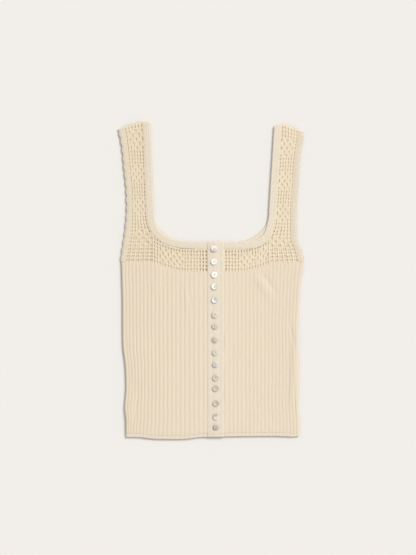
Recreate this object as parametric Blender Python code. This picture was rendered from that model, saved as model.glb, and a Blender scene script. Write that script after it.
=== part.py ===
"""Button-front top with a ribbed knitted body and a crochet yoke and straps, laid flat on its back.

Two ribbed fronts and a ribbed back carry a crochet yoke that runs on into wide crochet straps. A
plain ribbed band follows the square neck, a narrow scalloped edging each armhole and a flat edge the
hem. The buttonhole band lies over the button band, with fifteen shell buttons down it.

In the plan x runs across the garment from its centre line and y up it from the lowest point of the
hem. z is the height off the surface that it lies on. Left and right are those of someone who looks
down on it. Tables and sizes are in millimetres, and the finished meshes are in metres.
"""

from collections import namedtuple
import math

import bmesh
import bpy
import numpy as np

MM = 0.001
LEFT, RIGHT = -1, 1
SIDE_NAME = {LEFT: "left", RIGHT: "right"}

# How the cloth lies in layers
CLOTH = 2.0
GAP = 0.3
FRONT = CLOTH + GAP
LAP = 2 * FRONT

# The ribbed body
RIBS = {LEFT: 21, RIGHT: 20}
RIB_RISE = 0.8
RIB_CROWDING = {LEFT: 0.214, RIGHT: 0.15}
POINTS_PER_RIB = 3
STEADY_HEIGHT = 200
BODY_TOP = 290
BODY_ROWS = 10
BACK_COLUMNS = 44
SIDE_ROUNDING = 2.6
SIDE_FALL = 1.7

# Bands and edges
PLACKET_LEFT = -5.2
PLACKET_RIGHT = 22.9
UNDERLAP = 3.5
NECK_BAND = 12.5
NECK_TOP = 335.8
NECK_CORNER = 390
NECK_CORNER_LENGTH = 90
NECK_END = 40
ARMHOLE_EDGE = 9.0
SCALLOP = 1.4
SCALLOP_PITCH = 14.0
SCALLOP_RISE = 0.35
POINTS_PER_SCALLOP = 3
HEM_EDGE = 6.5
HEM_STEP = 8
PLACKET_GROOVE = 0.4

# The crochet: its rows, the eyelets of its diamonds, and where strap and yoke part
ROW_PITCH = 6.1
EYELET = 4.4
EYELET_SIDES = {"front": 6, "back": 4}
YOKE_STEP = 6
STRAP_COLUMNS = 6
YOKE_COLUMN = {LEFT: 4.715, RIGHT: 4.56}
STRAP_FOOT = {LEFT: -98.0, RIGHT: 100.0}

# The net of the back lies half a cell over from the front's
BACK_NET_SHIFT = 0.5

# The diamonds, by the row of each one's middle up the strap and by its column in from the strap's foot
DIAMOND = ("..O..", ".O.O.", "O.O.O", ".O.O.", "..O..")
STRAP_DIAMONDS = {LEFT: (6, 15, 24, 33), RIGHT: (4, 13, 22, 31)}
YOKE_DIAMONDS = {LEFT: (4, 8), RIGHT: (2, 8)}

# Buttons, by the height of each
BUTTON_HEIGHTS = (324, 302, 280, 260, 237, 212, 193, 170, 148, 128, 105, 87, 62, 39, 22)
BUTTON_TOP_X = 5.4
BUTTON_BOTTOM_X = 9.3
BUTTON_RADIUS = 5.4
BUTTON_SIDES = 14

# A button's outline, in from its edge and up from its back: the face is dished inside the rim
BUTTON_OUTLINE = ((0.6, 0.0), (0.0, 0.7), (0.5, 1.9), (1.7, 1.9), (2.3, 1.35))

Section = namedtuple("Section", "height left right")
Point = namedtuple("Point", "across height")
Fold = namedtuple("Fold", "across height half_length half_width turn rise")
Turn = namedtuple("Turn", "distance underside share")
Rib = namedtuple("Rib", "distance rise")
Strip = namedtuple("Strip", "distance underside rise")

# The outer edges: the sides of the body up to the underarm at 302, then the armholes
OUTLINE = (
    Section(4, -144.1, 150.0),
    Section(25, -144.1, 150.4),
    Section(50, -146.6, 148.3),
    Section(84, -144.1, 149.2),
    Section(118, -145.4, 149.2),
    Section(152, -149.4, 148.3),
    Section(186, -150.0, 148.3),
    Section(220, -150.0, 150.0),
    Section(254, -150.9, 152.2),
    Section(285, -151.7, 156.8),
    Section(302, -153.1, 157.5),
    Section(322, -150.9, 153.4),
    Section(339, -148.2, 146.6),
    Section(365, -144.9, 145.8),
    Section(390, -143.2, 145.8),
    Section(424, -144.1, 148.3),
    Section(458, -147.5, 150.0),
    Section(492, -150.9, 153.4),
    Section(509, -153.4, 156.0),
    Section(530, -157.7, 157.4),
)
UNDERARM = 302

HEM = (
    Point(-150, 4.2),
    Point(-123, 4.1),
    Point(-108, 2.4),
    Point(-90, 0.8),
    Point(-52, 0.5),
    Point(-34, 1.9),
    Point(-18, 4.0),
    Point(16, 5.0),
    Point(110, 5.9),
    Point(128, 5.2),
    Point(140, 4.8),
    Point(152, 6.0),
)
YOKE_SEAM = (
    Point(-155, 301.8),
    Point(-103, 301.8),
    Point(-86, 296.6),
    Point(-69, 290.7),
    Point(-52, 286.6),
    Point(-35, 285.6),
    Point(50, 285.6),
    Point(63, 287.3),
    Point(87, 294.1),
    Point(104, 300.1),
    Point(158, 301.8),
)
SHOULDER = {
    LEFT: (
        Point(-157.7, 527.0),
        Point(-140.7, 533.8),
        Point(-128.8, 537.2),
        Point(-115.2, 539.8),
        Point(-106.7, 540.8),
        Point(-103.3, 539.5),
    ),
    RIGHT: (
        Point(107.5, 532.5),
        Point(112.6, 535.2),
        Point(119.4, 536.4),
        Point(131.3, 532.9),
        Point(141.5, 528.7),
        Point(157.4, 522.6),
    ),
}
SHOULDER_HEIGHT = 530

# The rows of the strap bend with the yoke seam up to one height and with the shoulder from another
SEAM_BEND_END = 340
SHOULDER_BEND_START = 490

# The neck's edge, from the shoulder to the opening of the front or the middle of the back
FRONT_NECK = {
    LEFT: (
        Point(-103.3, 539.5),
        Point(-100.7, 492),
        Point(-99.0, 441),
        Point(-97.3, 399),
        Point(-96.4, 380),
        Point(-94.6, 369),
        Point(-90.5, 360),
        Point(-85.0, 352.8),
        Point(-77.8, 346.8),
        Point(-69.3, 342.4),
        Point(-59.0, 339.3),
        Point(-44.0, 337.2),
        Point(PLACKET_LEFT - GAP / 2, NECK_TOP),
    ),
    RIGHT: (
        Point(107.5, 532.5),
        Point(105.8, 506),
        Point(102.4, 451),
        Point(99.0, 394),
        Point(98.2, 380),
        Point(95.6, 366.3),
        Point(92.6, 355.5),
        Point(87.6, 346.8),
        Point(80.3, 340.6),
        Point(70.1, 337.0),
        Point(56.0, NECK_TOP),
        Point(PLACKET_RIGHT + GAP / 2, NECK_TOP),
    ),
}
BACK_NECK = {
    LEFT: (
        Point(-104.0, 539.0),
        Point(-101.5, 492),
        Point(-98.5, 399),
        Point(-96.8, 382),
        Point(-92.8, 367),
        Point(-84.6, 355.5),
        Point(-76.0, 348.5),
        Point(-64.0, 342.0),
        Point(-44.0, 336.0),
        Point(0.0, 334.5),
    ),
    RIGHT: (
        Point(108.2, 532.5),
        Point(106.5, 506),
        Point(99.6, 394),
        Point(98.4, 382),
        Point(95.0, 369),
        Point(88.8, 357.8),
        Point(80.3, 350.2),
        Point(71.8, 344.2),
        Point(63.3, 340.0),
        Point(44.0, 335.6),
        Point(0.0, 334.5),
    ),
}

# Soft folds of the fronts: each rises from the back along a line, turned in degrees from upright
FOLDS = (
    Fold(141, 118, 100, 9, -2, 1.5),
    Fold(88, 262, 34, 11, 34, 1.1),
    Fold(-138, 45, 48, 10, -8, 0.9),
    Fold(-44, 235, 42, 8, 2, 0.6),
    Fold(-92, 268, 26, 10, -30, 0.8),
    Fold(-6, 165, 215, 46, 0, 1.0),
)

# The front turns down over the end of the back at the shoulder
SHOULDER_TURN = (
    Turn(3.7, FRONT, 1.0),
    Turn(3.4, 0.0, 1.0),
    Turn(1.4, 0.0, 0.93),
    Turn(0.4, 0.5, 0.6),
    Turn(0.0, 1.4, 0.25),
)
BACK_SHORT = 4.2

# Ribs along the bands, by the distance from the free edge
NECK_RIBS = (
    Rib(0.0, -0.6),
    Rib(1.0, 0.4),
    Rib(4.2, 0.4),
    Rib(5.2, -0.1),
    Rib(6.2, 0.4),
    Rib(9.6, 0.4),
    Rib(10.6, -0.1),
    Rib(NECK_BAND, -0.1),
)
HEM_RIBS = (
    Rib(0.0, -0.6),
    Rib(0.8, 0.3),
    Rib(2.6, 0.3),
    Rib(3.3, -0.3),
    Rib(4.0, 0.3),
    Rib(5.8, 0.3),
    Rib(HEM_EDGE, -0.1),
)
PLAIN_RIBS = (Rib(0.0, 0.0), Rib(HEM_EDGE, 0.0))

# Across the buttonhole band: it climbs from its seam, and a raised strip runs down each side
PLACKET_STRIPS = (
    Strip(0.0, FRONT, 0.0),
    Strip(1.4, LAP - 1.2, 0.0),
    Strip(3.0, LAP, 0.0),
    Strip(7.2, LAP, 0.0),
    Strip(8.0, LAP, -0.4),
    Strip(21.2, LAP, -0.4),
    Strip(22.0, LAP, 0.0),
    Strip(27.0, LAP, 0.0),
    Strip(28.1, LAP, -0.6),
)

Finish = namedtuple("Finish", "name colour roughness")
RIB_KNIT = Finish("ribbed_cotton", (0.83, 0.71, 0.55), 0.9)
CROCHET = Finish("crochet_cotton", (0.82, 0.69, 0.50), 0.9)
BANDING = Finish("band_cotton", (0.83, 0.73, 0.58), 0.88)
SHELL = Finish("button_shell", (0.86, 0.84, 0.80), 0.2)


def through(rows):
    """A smooth function of a table's first column that passes through each of its rows and no further."""
    table = np.array(rows, float)
    at, values = table[:, 0], table[:, 1:]
    steps = np.diff(values, axis=0) / np.diff(at)[:, None]
    before, after = np.vstack([steps[:1], steps]), np.vstack([steps, steps[-1:]])
    same_way = before * after > 0
    total = np.where(same_way, before + after, 1.0)
    slopes = np.where(same_way, 2 * before * after / total, 0.0)

    def value(t):
        t = min(max(t, at[0]), at[-1])
        i = min(int(np.searchsorted(at, t, "right")) - 1, len(at) - 2)
        step = at[i + 1] - at[i]
        s = (t - at[i]) / step
        blend = (3 - 2 * s) * s * s
        bend = step * s * (1 - s) * ((1 - s) * slopes[i] - s * slopes[i + 1])
        return values[i] * (1 - blend) + values[i + 1] * blend + bend

    return value


TURN_STOPS = sorted(SHOULDER_HEIGHT - turn.distance for turn in SHOULDER_TURN)
STRAP_STOPS = list(np.arange(UNDERARM, SHOULDER_HEIGHT - SCALLOP_PITCH, SCALLOP_PITCH)) + TURN_STOPS
OUTLINE_AT = through(OUTLINE)
HEM_AT = through(HEM)
SEAM_AT = through(YOKE_SEAM)
SHOULDER_AT = {hand: through(rows) for hand, rows in SHOULDER.items()}


def outer(hand, height):
    """How far across the outer edge lies on one side."""
    left, right = OUTLINE_AT(height)
    return left if hand == LEFT else right


def edging_line(hand, height):
    """How far across the armhole edging ends: straight from scallop to scallop."""
    return np.interp(height, STRAP_STOPS, [outer(hand, stop) for stop in STRAP_STOPS]) - hand * ARMHOLE_EDGE


def hem(across):
    return HEM_AT(across)[0]


def yoke_seam(across):
    return SEAM_AT(across)[0]


def shoulder(hand, across):
    return SHOULDER_AT[hand](across)[0]


def ramp(value, low, high):
    """0 up to low, 1 from high on, and straight between."""
    return min(max((value - low) / (high - low), 0.0), 1.0)


def fold_rise(across, height):
    """How far the folds lift the front off the back."""
    rise = 0.0
    for fold in FOLDS:
        turn = math.radians(fold.turn)
        dx, dy = across - fold.across, height - fold.height
        along = (dy * math.cos(turn) - dx * math.sin(turn)) / fold.half_length
        aside = (dx * math.cos(turn) + dy * math.sin(turn)) / fold.half_width
        inside = max(0.0, 1 - along * along) * max(0.0, 1 - aside * aside)
        rise += fold.rise * inside * inside
    return rise


class Line:
    """A smooth line through the points of a table, by the distance along it."""

    def __init__(self, points):
        spots = np.array(points, float)
        steps = np.hypot(*np.diff(spots, axis=0).T)
        run = np.concatenate([[0.0], np.cumsum(steps)])
        self.length = run[-1]
        self.at = through(np.column_stack([run, spots]))

    def offset(self, distance, aside, hand):
        """The point beside the line on its cloth side."""
        ahead = self.at(distance + 1.0) - self.at(distance - 1.0)
        ahead /= np.hypot(*ahead)
        return self.at(distance) + aside * hand * np.array([-ahead[1], ahead[0]])

    def beside(self, aside, hand):
        """Points of the line that runs beside this one."""
        count = int(self.length / 3)
        return np.array([self.offset(self.length * i / count, aside, hand) for i in range(count + 1)])


class Half:
    """One hand's half of the yoke and its strap, in the front or the back layer."""

    def __init__(self, hand, neck, underside):
        self.hand = hand
        self.neck = Line(neck)
        self.underside = underside
        self.net_shift = 0.0 if underside else BACK_NET_SHIFT
        self.foot = STRAP_FOOT[hand]
        beside = self.neck.beside(NECK_BAND + GAP, hand)[::-1]
        outwards = np.abs(beside[:, 0])
        yoke_end, strap_start = abs(self.foot) - GAP / 2, abs(self.foot) + GAP / 2
        start = [hand * strap_start, np.interp(strap_start, outwards, beside[:, 1])]
        end = [hand * yoke_end, np.interp(yoke_end, outwards, beside[:, 1])]
        self.strap_line = np.vstack([start, beside[outwards > strap_start]])
        self.yoke_line = np.vstack([beside[outwards < yoke_end], end])
        if hand == LEFT:
            self.yoke_line = self.yoke_line[::-1]
        self.corner = self.strap_line[0, 1]

    def strap_inner(self, height):
        """How far across the crochet of the strap ends on its neck side."""
        if height < self.corner:
            return self.foot + self.hand * GAP / 2
        return np.interp(height, self.strap_line[:, 1], self.strap_line[:, 0])

    def yoke_top(self, across):
        """The height at which the yoke meets the neck band."""
        return np.interp(across, self.yoke_line[:, 0], self.yoke_line[:, 1])

    def strap_spot(self, share, height):
        """A point of the strap, from its armhole side (0) to its neck side (1)."""
        start = edging_line(self.hand, height) - self.hand * GAP
        end = self.strap_inner(self.settle(self.strap_inner(height), height))
        across = start + share * (end - start)
        return across, self.settle(across, height)

    def settle(self, across, height):
        """Bends a level row so that it follows the yoke seam below and the shoulder above."""
        low = (yoke_seam(across) + GAP / 2 - UNDERARM) * (1 - ramp(height, UNDERARM, SEAM_BEND_END))
        turn = ramp(height, SHOULDER_BEND_START, SHOULDER_HEIGHT)
        return height + low + (shoulder(self.hand, across) - SHOULDER_HEIGHT) * turn

    def strap_eyelets(self):
        """The eyelets of the diamonds down the strap."""
        aside, up = 0.5 - self.net_shift, 0.5 + self.net_shift
        cells = diamond_cells([(STRAP_COLUMNS - 3, row) for row in STRAP_DIAMONDS[self.hand]])
        return [
            self.strap_spot((column + aside) / STRAP_COLUMNS, UNDERARM + (row + up) * ROW_PITCH)
            for column, row in cells
        ]

    def yoke_eyelets(self):
        """The eyelets of the diamonds along the yoke."""
        spots = []
        middle = 0.5 + self.net_shift
        for column, row in diamond_cells([(column, 2) for column in YOKE_DIAMONDS[self.hand]]):
            across = self.foot - self.hand * (column + middle) * YOKE_COLUMN[self.hand]
            height = yoke_seam(across) + (row + middle) * ROW_PITCH
            if height < self.yoke_top(across) - EYELET * 0.75:
                spots.append((across, height))
        return spots


def diamond_cells(middles):
    """The cells, by column and row, that are eyelets in the diamonds round these middle cells."""
    reach = len(DIAMOND) // 2
    return sorted({
        (column + i - reach, row + j - reach)
        for column, row in middles
        for j, cells in enumerate(DIAMOND)
        for i, cell in enumerate(cells)
        if cell == "O"
    })


def material(finish):
    made = bpy.data.materials.get(finish.name) or bpy.data.materials.new(finish.name)
    made.use_nodes = True
    shader = made.node_tree.nodes["Principled BSDF"]
    shader.inputs["Base Color"].default_value = (*finish.colour, 1)
    shader.inputs["Roughness"].default_value = finish.roughness
    shader.inputs["Metallic"].default_value = 0
    made.diffuse_color = (*finish.colour, 1)
    return made


def add_object(name, shape, finish, garment):
    """Turns a shape in millimetres into an object in metres, under the garment's empty."""
    bmesh.ops.recalc_face_normals(shape, faces=shape.faces)
    bmesh.ops.scale(shape, vec=(MM, MM, MM), verts=shape.verts)
    mesh = bpy.data.meshes.new(name)
    shape.to_mesh(mesh)
    shape.free()
    mesh.shade_smooth()
    mesh.set_sharp_from_angle(angle=math.radians(40))
    piece = bpy.data.objects.new(name, mesh)
    bpy.context.scene.collection.objects.link(piece)
    piece.parent = garment
    if finish:
        mesh.materials.append(material(finish))
    return piece


def add_cloth(name, across, along, place, finish, garment):
    """A closed wall of cloth: place gives each point's x, y, underside and top."""
    shape = bmesh.new()
    columns, rows = len(across) - 1, len(along) - 1
    bmesh.ops.create_grid(shape, x_segments=columns, y_segments=rows, size=0.5)
    under = set(shape.verts)
    bmesh.ops.extrude_face_region(shape, geom=list(shape.faces))
    for vertex in shape.verts:
        column = round((vertex.co.x + 0.5) * columns)
        row = round((vertex.co.y + 0.5) * rows)
        x, y, low, high = place(across[column], along[row])
        vertex.co = (x, y, low if vertex in under else high)
    return add_object(name, shape, finish, garment)


def open_eyelets(piece, spots, sides, garment):
    """Cuts the eyelets through a piece."""
    shape = bmesh.new()
    for x, y in spots:
        ring = bmesh.ops.create_circle(shape, cap_ends=True, segments=sides, radius=EYELET / 2)
        bmesh.ops.translate(shape, vec=(x, y, -CLOTH), verts=ring["verts"])
    raised = bmesh.ops.extrude_face_region(shape, geom=list(shape.faces))
    top = [item for item in raised["geom"] if isinstance(item, bmesh.types.BMVert)]
    bmesh.ops.translate(shape, vec=(0, 0, FRONT + 3 * CLOTH), verts=top)
    cutter = add_object(piece.name + "_eyelets", shape, None, garment)
    cutter.hide_render = True
    cutter.display_type = "WIRE"
    cut = piece.modifiers.new("Eyelets", "BOOLEAN")
    cut.operation = "DIFFERENCE"
    cut.solver = "EXACT"
    cut.object = cutter


def spread(start, end, count):
    return [start + (end - start) * i / count for i in range(count + 1)]


def add_body_front(hand, garment):
    """A ribbed front. Its ribs crowd towards the side and lean with it."""
    inner = (PLACKET_LEFT if hand == LEFT else PLACKET_RIGHT) + hand * GAP
    steady = outer(hand, STEADY_HEIGHT)
    crowding = RIB_CROWDING[hand]
    columns = RIBS[hand] * POINTS_PER_RIB

    def place(column, share):
        out = column / columns
        level = HEM_EDGE + share * (BODY_TOP - HEM_EDGE)
        across = inner + (steady - inner) * ((1 + crowding) * out - crowding * out * out)
        across += (outer(hand, level) - steady) * out**3
        low = hem(across) + HEM_EDGE + GAP
        height = low + share * (yoke_seam(across) - GAP / 2 - low)
        lift = fold_rise(across, height)
        rise = 0.0 if column % POINTS_PER_RIB == 0 else RIB_RISE
        side = abs(outer(hand, level) - across)
        fall = SIDE_FALL * max(0.0, 1 - side / SIDE_ROUNDING) ** 2
        return across, height, FRONT + lift, FRONT + lift + CLOTH + rise - fall

    rows = spread(0.0, 1.0, BODY_ROWS)
    name = "body_front_" + SIDE_NAME[hand]
    add_cloth(name, range(columns + 1), rows, place, RIB_KNIT, garment)


def add_body_back(garment):
    """The ribbed back, which lies flat on the surface."""

    def place(share, level):
        height = HEM_EDGE + level * (BODY_TOP - HEM_EDGE)
        left, right = outer(LEFT, height), outer(RIGHT, height)
        across = left + share * (right - left)
        low = hem(across) + HEM_EDGE + GAP
        return across, low + level * (yoke_seam(across) - GAP / 2 - low), 0.0, CLOTH

    rows = spread(0.0, 1.0, BODY_ROWS)
    add_cloth("body_back", spread(0.0, 1.0, BACK_COLUMNS), rows, place, RIB_KNIT, garment)


def add_hem_edge(name, ends, underside, ribs, garment):
    """The flat edge along the hem, with its two ribs."""

    def place(share, rib):
        across = ends[0] + share * (ends[1] - ends[0])
        top = underside + CLOTH + rib.rise
        return across, hem(across) + rib.distance, underside, top

    columns = round((ends[1] - ends[0]) / HEM_STEP)
    add_cloth(name, spread(0.0, 1.0, columns), ribs, place, BANDING, garment)


def strap_levels(layer, step, more=()):
    """The heights of a strap's rows, and the turn of each row that goes over the shoulder."""
    turns = {SHOULDER_HEIGHT - turn.distance: turn for turn in SHOULDER_TURN}
    levels = sorted({*np.arange(UNDERARM, SHOULDER_HEIGHT - SCALLOP_PITCH, step), *more})
    if layer == "front":
        return levels + sorted(turns), turns
    return levels + [SHOULDER_HEIGHT - BACK_SHORT], {}


def add_strap(half, layer, garment):
    """The crochet of one strap. The front one turns down over the shoulder."""
    corner = [half.corner + step for step in (0.1, 2.5, 5, 10, 16, 24)]
    levels, turns = strap_levels(layer, SCALLOP_PITCH, corner)

    def place(share, level):
        across, height = half.strap_spot(share, level)
        turn = turns.get(level, Turn(0, half.underside, 1.0))
        return across, height, turn.underside, half.underside + CLOTH * turn.share

    name = f"crochet_strap_{layer}_{SIDE_NAME[half.hand]}"
    strap = add_cloth(name, spread(0.0, 1.0, STRAP_COLUMNS), levels, place, CROCHET, garment)
    open_eyelets(strap, half.strap_eyelets(), EYELET_SIDES[layer], garment)


def add_armhole_edge(half, layer, garment):
    """The scalloped edging of one armhole, with a rib across each scallop."""
    levels, turns = strap_levels(layer, SCALLOP_PITCH / POINTS_PER_SCALLOP)

    def place(share, level):
        scallop = abs(math.sin(math.pi * (level - UNDERARM) / SCALLOP_PITCH)) - 0.6
        edge = outer(half.hand, level) + half.hand * SCALLOP * scallop
        across = edge + share * (edging_line(half.hand, level) - edge)
        turn = turns.get(level, Turn(0, half.underside, 1.0))
        rise = SCALLOP_RISE * (scallop - 0.2) if layer == "front" and not turns.get(level) else 0.0
        top = half.underside + (CLOTH + rise) * turn.share
        return across, half.settle(across, level), turn.underside, top

    name = f"armhole_edge_{layer}_{SIDE_NAME[half.hand]}"
    add_cloth(name, [0.0, 1.0], levels, place, BANDING, garment)


def neck_stops(line, turned):
    """The distances along a neck edge at which its band has a row, close together on the corner."""
    start = [turn.distance for turn in SHOULDER_TURN][::-1] if turned else [BACK_SHORT]
    corner = line.at(0.0)[1] - NECK_CORNER
    after = corner + NECK_CORNER_LENGTH
    return start + spread(14, corner, 5) + spread(corner, after, 14)[1:] + [line.length]


def neck_spot(half, distance, aside):
    """A point of the neck band. Its end follows the slope of the shoulder."""
    x, y = half.neck.offset(distance, aside, half.hand)
    start = half.neck.at(0.0)
    slope = shoulder(half.hand, x) - shoulder(half.hand, start[0])
    return x, y + slope * ramp(y, start[1] - NECK_END, start[1])


def add_neck_band_front(half, garment):
    turns = {turn.distance: turn for turn in SHOULDER_TURN}

    def place(rib, distance):
        x, y = neck_spot(half, distance, rib.distance)
        turn = turns.get(distance, Turn(0, FRONT, 1.0))
        return x, y, turn.underside, FRONT + (CLOTH + rib.rise) * turn.share

    name = "neck_band_front_" + SIDE_NAME[half.hand]
    add_cloth(name, NECK_RIBS, neck_stops(half.neck, True), place, BANDING, garment)


def add_neck_band_back(halves, garment):
    """One band from shoulder to shoulder round the back of the neck."""
    left = [(halves[LEFT], distance) for distance in neck_stops(halves[LEFT].neck, False)]
    right = [(halves[RIGHT], distance) for distance in neck_stops(halves[RIGHT].neck, False)]

    def place(aside, stop):
        half, distance = stop
        x, y = neck_spot(half, distance, aside)
        return x, y, 0.0, CLOTH

    stops = left + right[-2::-1]
    add_cloth("neck_band_back", [0.0, NECK_BAND], stops, place, BANDING, garment)


def add_yoke(name, ends, tops, eyelets, underside, sides, garment):
    """A stretch of the yoke, from the seam with the body up to the neck band."""

    def place(across, share):
        low = yoke_seam(across) + GAP / 2
        high = tops(across)
        return across, low + share * (high - low), underside, underside + CLOTH

    stops = spread(ends[0], ends[1], round((ends[1] - ends[0]) / YOKE_STEP))
    yoke = add_cloth(name, stops, spread(0.0, 1.0, 3), place, CROCHET, garment)
    open_eyelets(yoke, eyelets, sides, garment)


def add_yokes(fronts, backs, garment):
    for hand, half in fronts.items():
        foot = STRAP_FOOT[hand] - hand * GAP / 2
        opening = (PLACKET_LEFT if hand == LEFT else PLACKET_RIGHT) + hand * GAP
        name = "crochet_yoke_front_" + SIDE_NAME[hand]
        ends = sorted((foot, opening))
        add_yoke(name, ends, half.yoke_top, half.yoke_eyelets(), FRONT, EYELET_SIDES["front"], garment)
    ends = (STRAP_FOOT[LEFT] + GAP / 2, STRAP_FOOT[RIGHT] - GAP / 2)
    eyelets = backs[LEFT].yoke_eyelets() + backs[RIGHT].yoke_eyelets()

    def tops(across):
        return backs[LEFT if across < 0 else RIGHT].yoke_top(across)

    add_yoke("crochet_yoke_back", ends, tops, eyelets, 0.0, EYELET_SIDES["back"], garment)


def add_placket(garment):
    """The button band on the right front, and over it the buttonhole band on the left one."""
    groove = HEM_EDGE / 2

    def height(across, level):
        return level + hem(across) * (1 - level / NECK_TOP)

    def under_place(across, level):
        return across, height(across, level), FRONT, FRONT + CLOTH

    def over_place(strip, level):
        across = PLACKET_LEFT + strip.distance
        top = strip.underside + CLOTH + strip.rise - (PLACKET_GROOVE if level == groove else 0.0)
        return across, height(across, level), strip.underside, top

    stops = (PLACKET_LEFT + UNDERLAP, PLACKET_RIGHT)
    add_cloth("button_band", stops, (0.0, NECK_TOP), under_place, BANDING, garment)
    levels = (0.0, groove - 0.7, groove, groove + 0.7, HEM_EDGE, NECK_TOP)
    add_cloth("buttonhole_band", PLACKET_STRIPS, levels, over_place, BANDING, garment)


def button_mesh():
    """A dished shell button: its outline spun round the middle."""
    shape = bmesh.new()
    corners = [shape.verts.new((BUTTON_RADIUS - aside, 0, z)) for aside, z in BUTTON_OUTLINE]
    edges = [shape.edges.new(pair) for pair in zip(corners, corners[1:])]
    bmesh.ops.spin(
        shape,
        geom=corners + edges,
        axis=(0, 0, 1),
        cent=(0, 0, 0),
        steps=BUTTON_SIDES,
        angle=math.tau,
        use_merge=True,
    )
    bmesh.ops.remove_doubles(shape, verts=shape.verts, dist=0.001)
    rims = [edge for edge in shape.edges if edge.is_boundary]
    bmesh.ops.holes_fill(shape, edges=rims, sides=BUTTON_SIDES)
    return shape


def add_buttons(garment):
    """The buttons, which share one mesh."""
    first = None
    highest, lowest = BUTTON_HEIGHTS[0], BUTTON_HEIGHTS[-1]
    for number, height in enumerate(BUTTON_HEIGHTS, start=1):
        name = f"button_{number:02d}"
        if first is None:
            button = first = add_object(name, button_mesh(), SHELL, garment)
        else:
            button = bpy.data.objects.new(name, first.data)
            bpy.context.scene.collection.objects.link(button)
            button.parent = garment
        down = (highest - height) / (highest - lowest)
        across = BUTTON_TOP_X + down * (BUTTON_BOTTOM_X - BUTTON_TOP_X)
        button.location = (across * MM, height * MM, (LAP + CLOTH + GAP) * MM)


def centre(garment):
    """Moves the garment so that the middle of its box's underside is at the world's origin."""
    bpy.context.view_layer.update()
    corners = [
        piece.matrix_world @ vertex.co
        for piece in garment.children
        if not piece.hide_render
        for vertex in piece.data.vertices
    ]
    low, high = np.min(corners, axis=0), np.max(corners, axis=0)
    garment.location = (-(low[0] + high[0]) / 2, -(low[1] + high[1]) / 2, -low[2])


def main():
    for leftover in list(bpy.data.objects):
        bpy.data.objects.remove(leftover)
    garment = bpy.data.objects.new("top_laid_flat", None)
    bpy.context.scene.collection.objects.link(garment)
    fronts = {hand: Half(hand, FRONT_NECK[hand], FRONT) for hand in (LEFT, RIGHT)}
    backs = {hand: Half(hand, BACK_NECK[hand], 0.0) for hand in (LEFT, RIGHT)}
    add_body_back(garment)
    for hand in (LEFT, RIGHT):
        add_body_front(hand, garment)
        for half, layer in ((fronts[hand], "front"), (backs[hand], "back")):
            add_strap(half, layer, garment)
            add_armhole_edge(half, layer, garment)
        add_neck_band_front(fronts[hand], garment)
    add_neck_band_back(backs, garment)
    add_yokes(fronts, backs, garment)
    sides = outer(LEFT, 0), outer(RIGHT, 0)
    add_hem_edge("hem_edge_back", sides, 0.0, PLAIN_RIBS, garment)
    add_hem_edge("hem_edge_front_left", (sides[0], PLACKET_LEFT - GAP), FRONT, HEM_RIBS, garment)
    add_hem_edge("hem_edge_front_right", (PLACKET_RIGHT + GAP, sides[1]), FRONT, HEM_RIBS, garment)
    add_placket(garment)
    add_buttons(garment)
    centre(garment)


if __name__ == "__main__":
    main()
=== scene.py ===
"""Dresses the laid-flat top in its yarn: ribbed knit, crochet net, banding and shell buttons.

In the plan x runs across the garment from its centre line and y up it from the lowest point of
the hem. z is the height off the surface that it lies on. Left and right are those of someone who
looks down on it. Tables and sizes are in millimetres, and the finished meshes are in metres.
"""

from collections import namedtuple
import math

import bmesh
import bpy
import numpy as np
from mathutils import Matrix, Vector, noise


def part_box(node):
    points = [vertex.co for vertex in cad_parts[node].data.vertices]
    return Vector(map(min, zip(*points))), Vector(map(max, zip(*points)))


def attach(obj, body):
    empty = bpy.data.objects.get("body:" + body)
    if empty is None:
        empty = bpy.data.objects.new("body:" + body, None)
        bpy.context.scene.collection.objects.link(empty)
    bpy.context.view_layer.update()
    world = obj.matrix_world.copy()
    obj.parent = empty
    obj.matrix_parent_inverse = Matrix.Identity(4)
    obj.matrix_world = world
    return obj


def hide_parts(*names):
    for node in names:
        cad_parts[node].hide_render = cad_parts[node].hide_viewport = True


bl_info = {
    "name": "Ribbed Top with a Crochet Yoke",
    "version": (1, 0, 0),
    "blender": (4, 5, 0),
    "location": "3D View > Sidebar > Top",
    "description": "Knits, crochets and buttons up a top that lies flat",
    "category": "Add Mesh",
}

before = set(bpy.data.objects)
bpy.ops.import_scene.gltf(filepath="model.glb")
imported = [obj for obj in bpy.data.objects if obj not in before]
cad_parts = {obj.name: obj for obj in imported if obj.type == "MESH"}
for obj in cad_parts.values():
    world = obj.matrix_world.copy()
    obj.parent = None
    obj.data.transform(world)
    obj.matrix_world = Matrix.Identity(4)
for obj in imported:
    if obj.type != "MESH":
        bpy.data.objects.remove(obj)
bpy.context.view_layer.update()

MM = 0.001
LEFT, RIGHT = -1, 1
SIDE_NAME = {LEFT: "left", RIGHT: "right"}

# The cloth's thickness, the gap between two layers, and how high the front and the lap over it lie
CLOTH = 2.0
GAP = 0.3
FRONT = CLOTH + GAP
LAP = 2 * FRONT

# The ribbed body: its ribs, how they crowd towards the side and flare at the hem, and their depth
BODY_ROWS = 72
RIBS = {LEFT: 21, RIGHT: 20}
BACK_RIBS = 43
RIB_CROWDING = {LEFT: 0.214, RIGHT: 0.15}
FLARE = {LEFT: -3.5, RIGHT: 0.8}
RIB_FULLNESS = {LEFT: (0.9, 1.08), RIGHT: (0.66, 0.84)}
BACK_RIB_DEPTH = 0.75
# Where points lie across one rib, from hollow to hollow
RIB_STEPS = (0.0, 0.07, 0.18, 0.33, 0.5, 0.67, 0.82, 0.93)
BACK_RIB_STEPS = (0.0, 0.18, 0.5, 0.82, 0.93)
# How far a crest stands over the wall, how far a rib strays, and its width in the stitch map
RIB_STAND = 0.8
RIB_STRAY = 0.5
RIB_STRAY_SIZE = 26
RIB_STITCHES = 5.4
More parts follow.
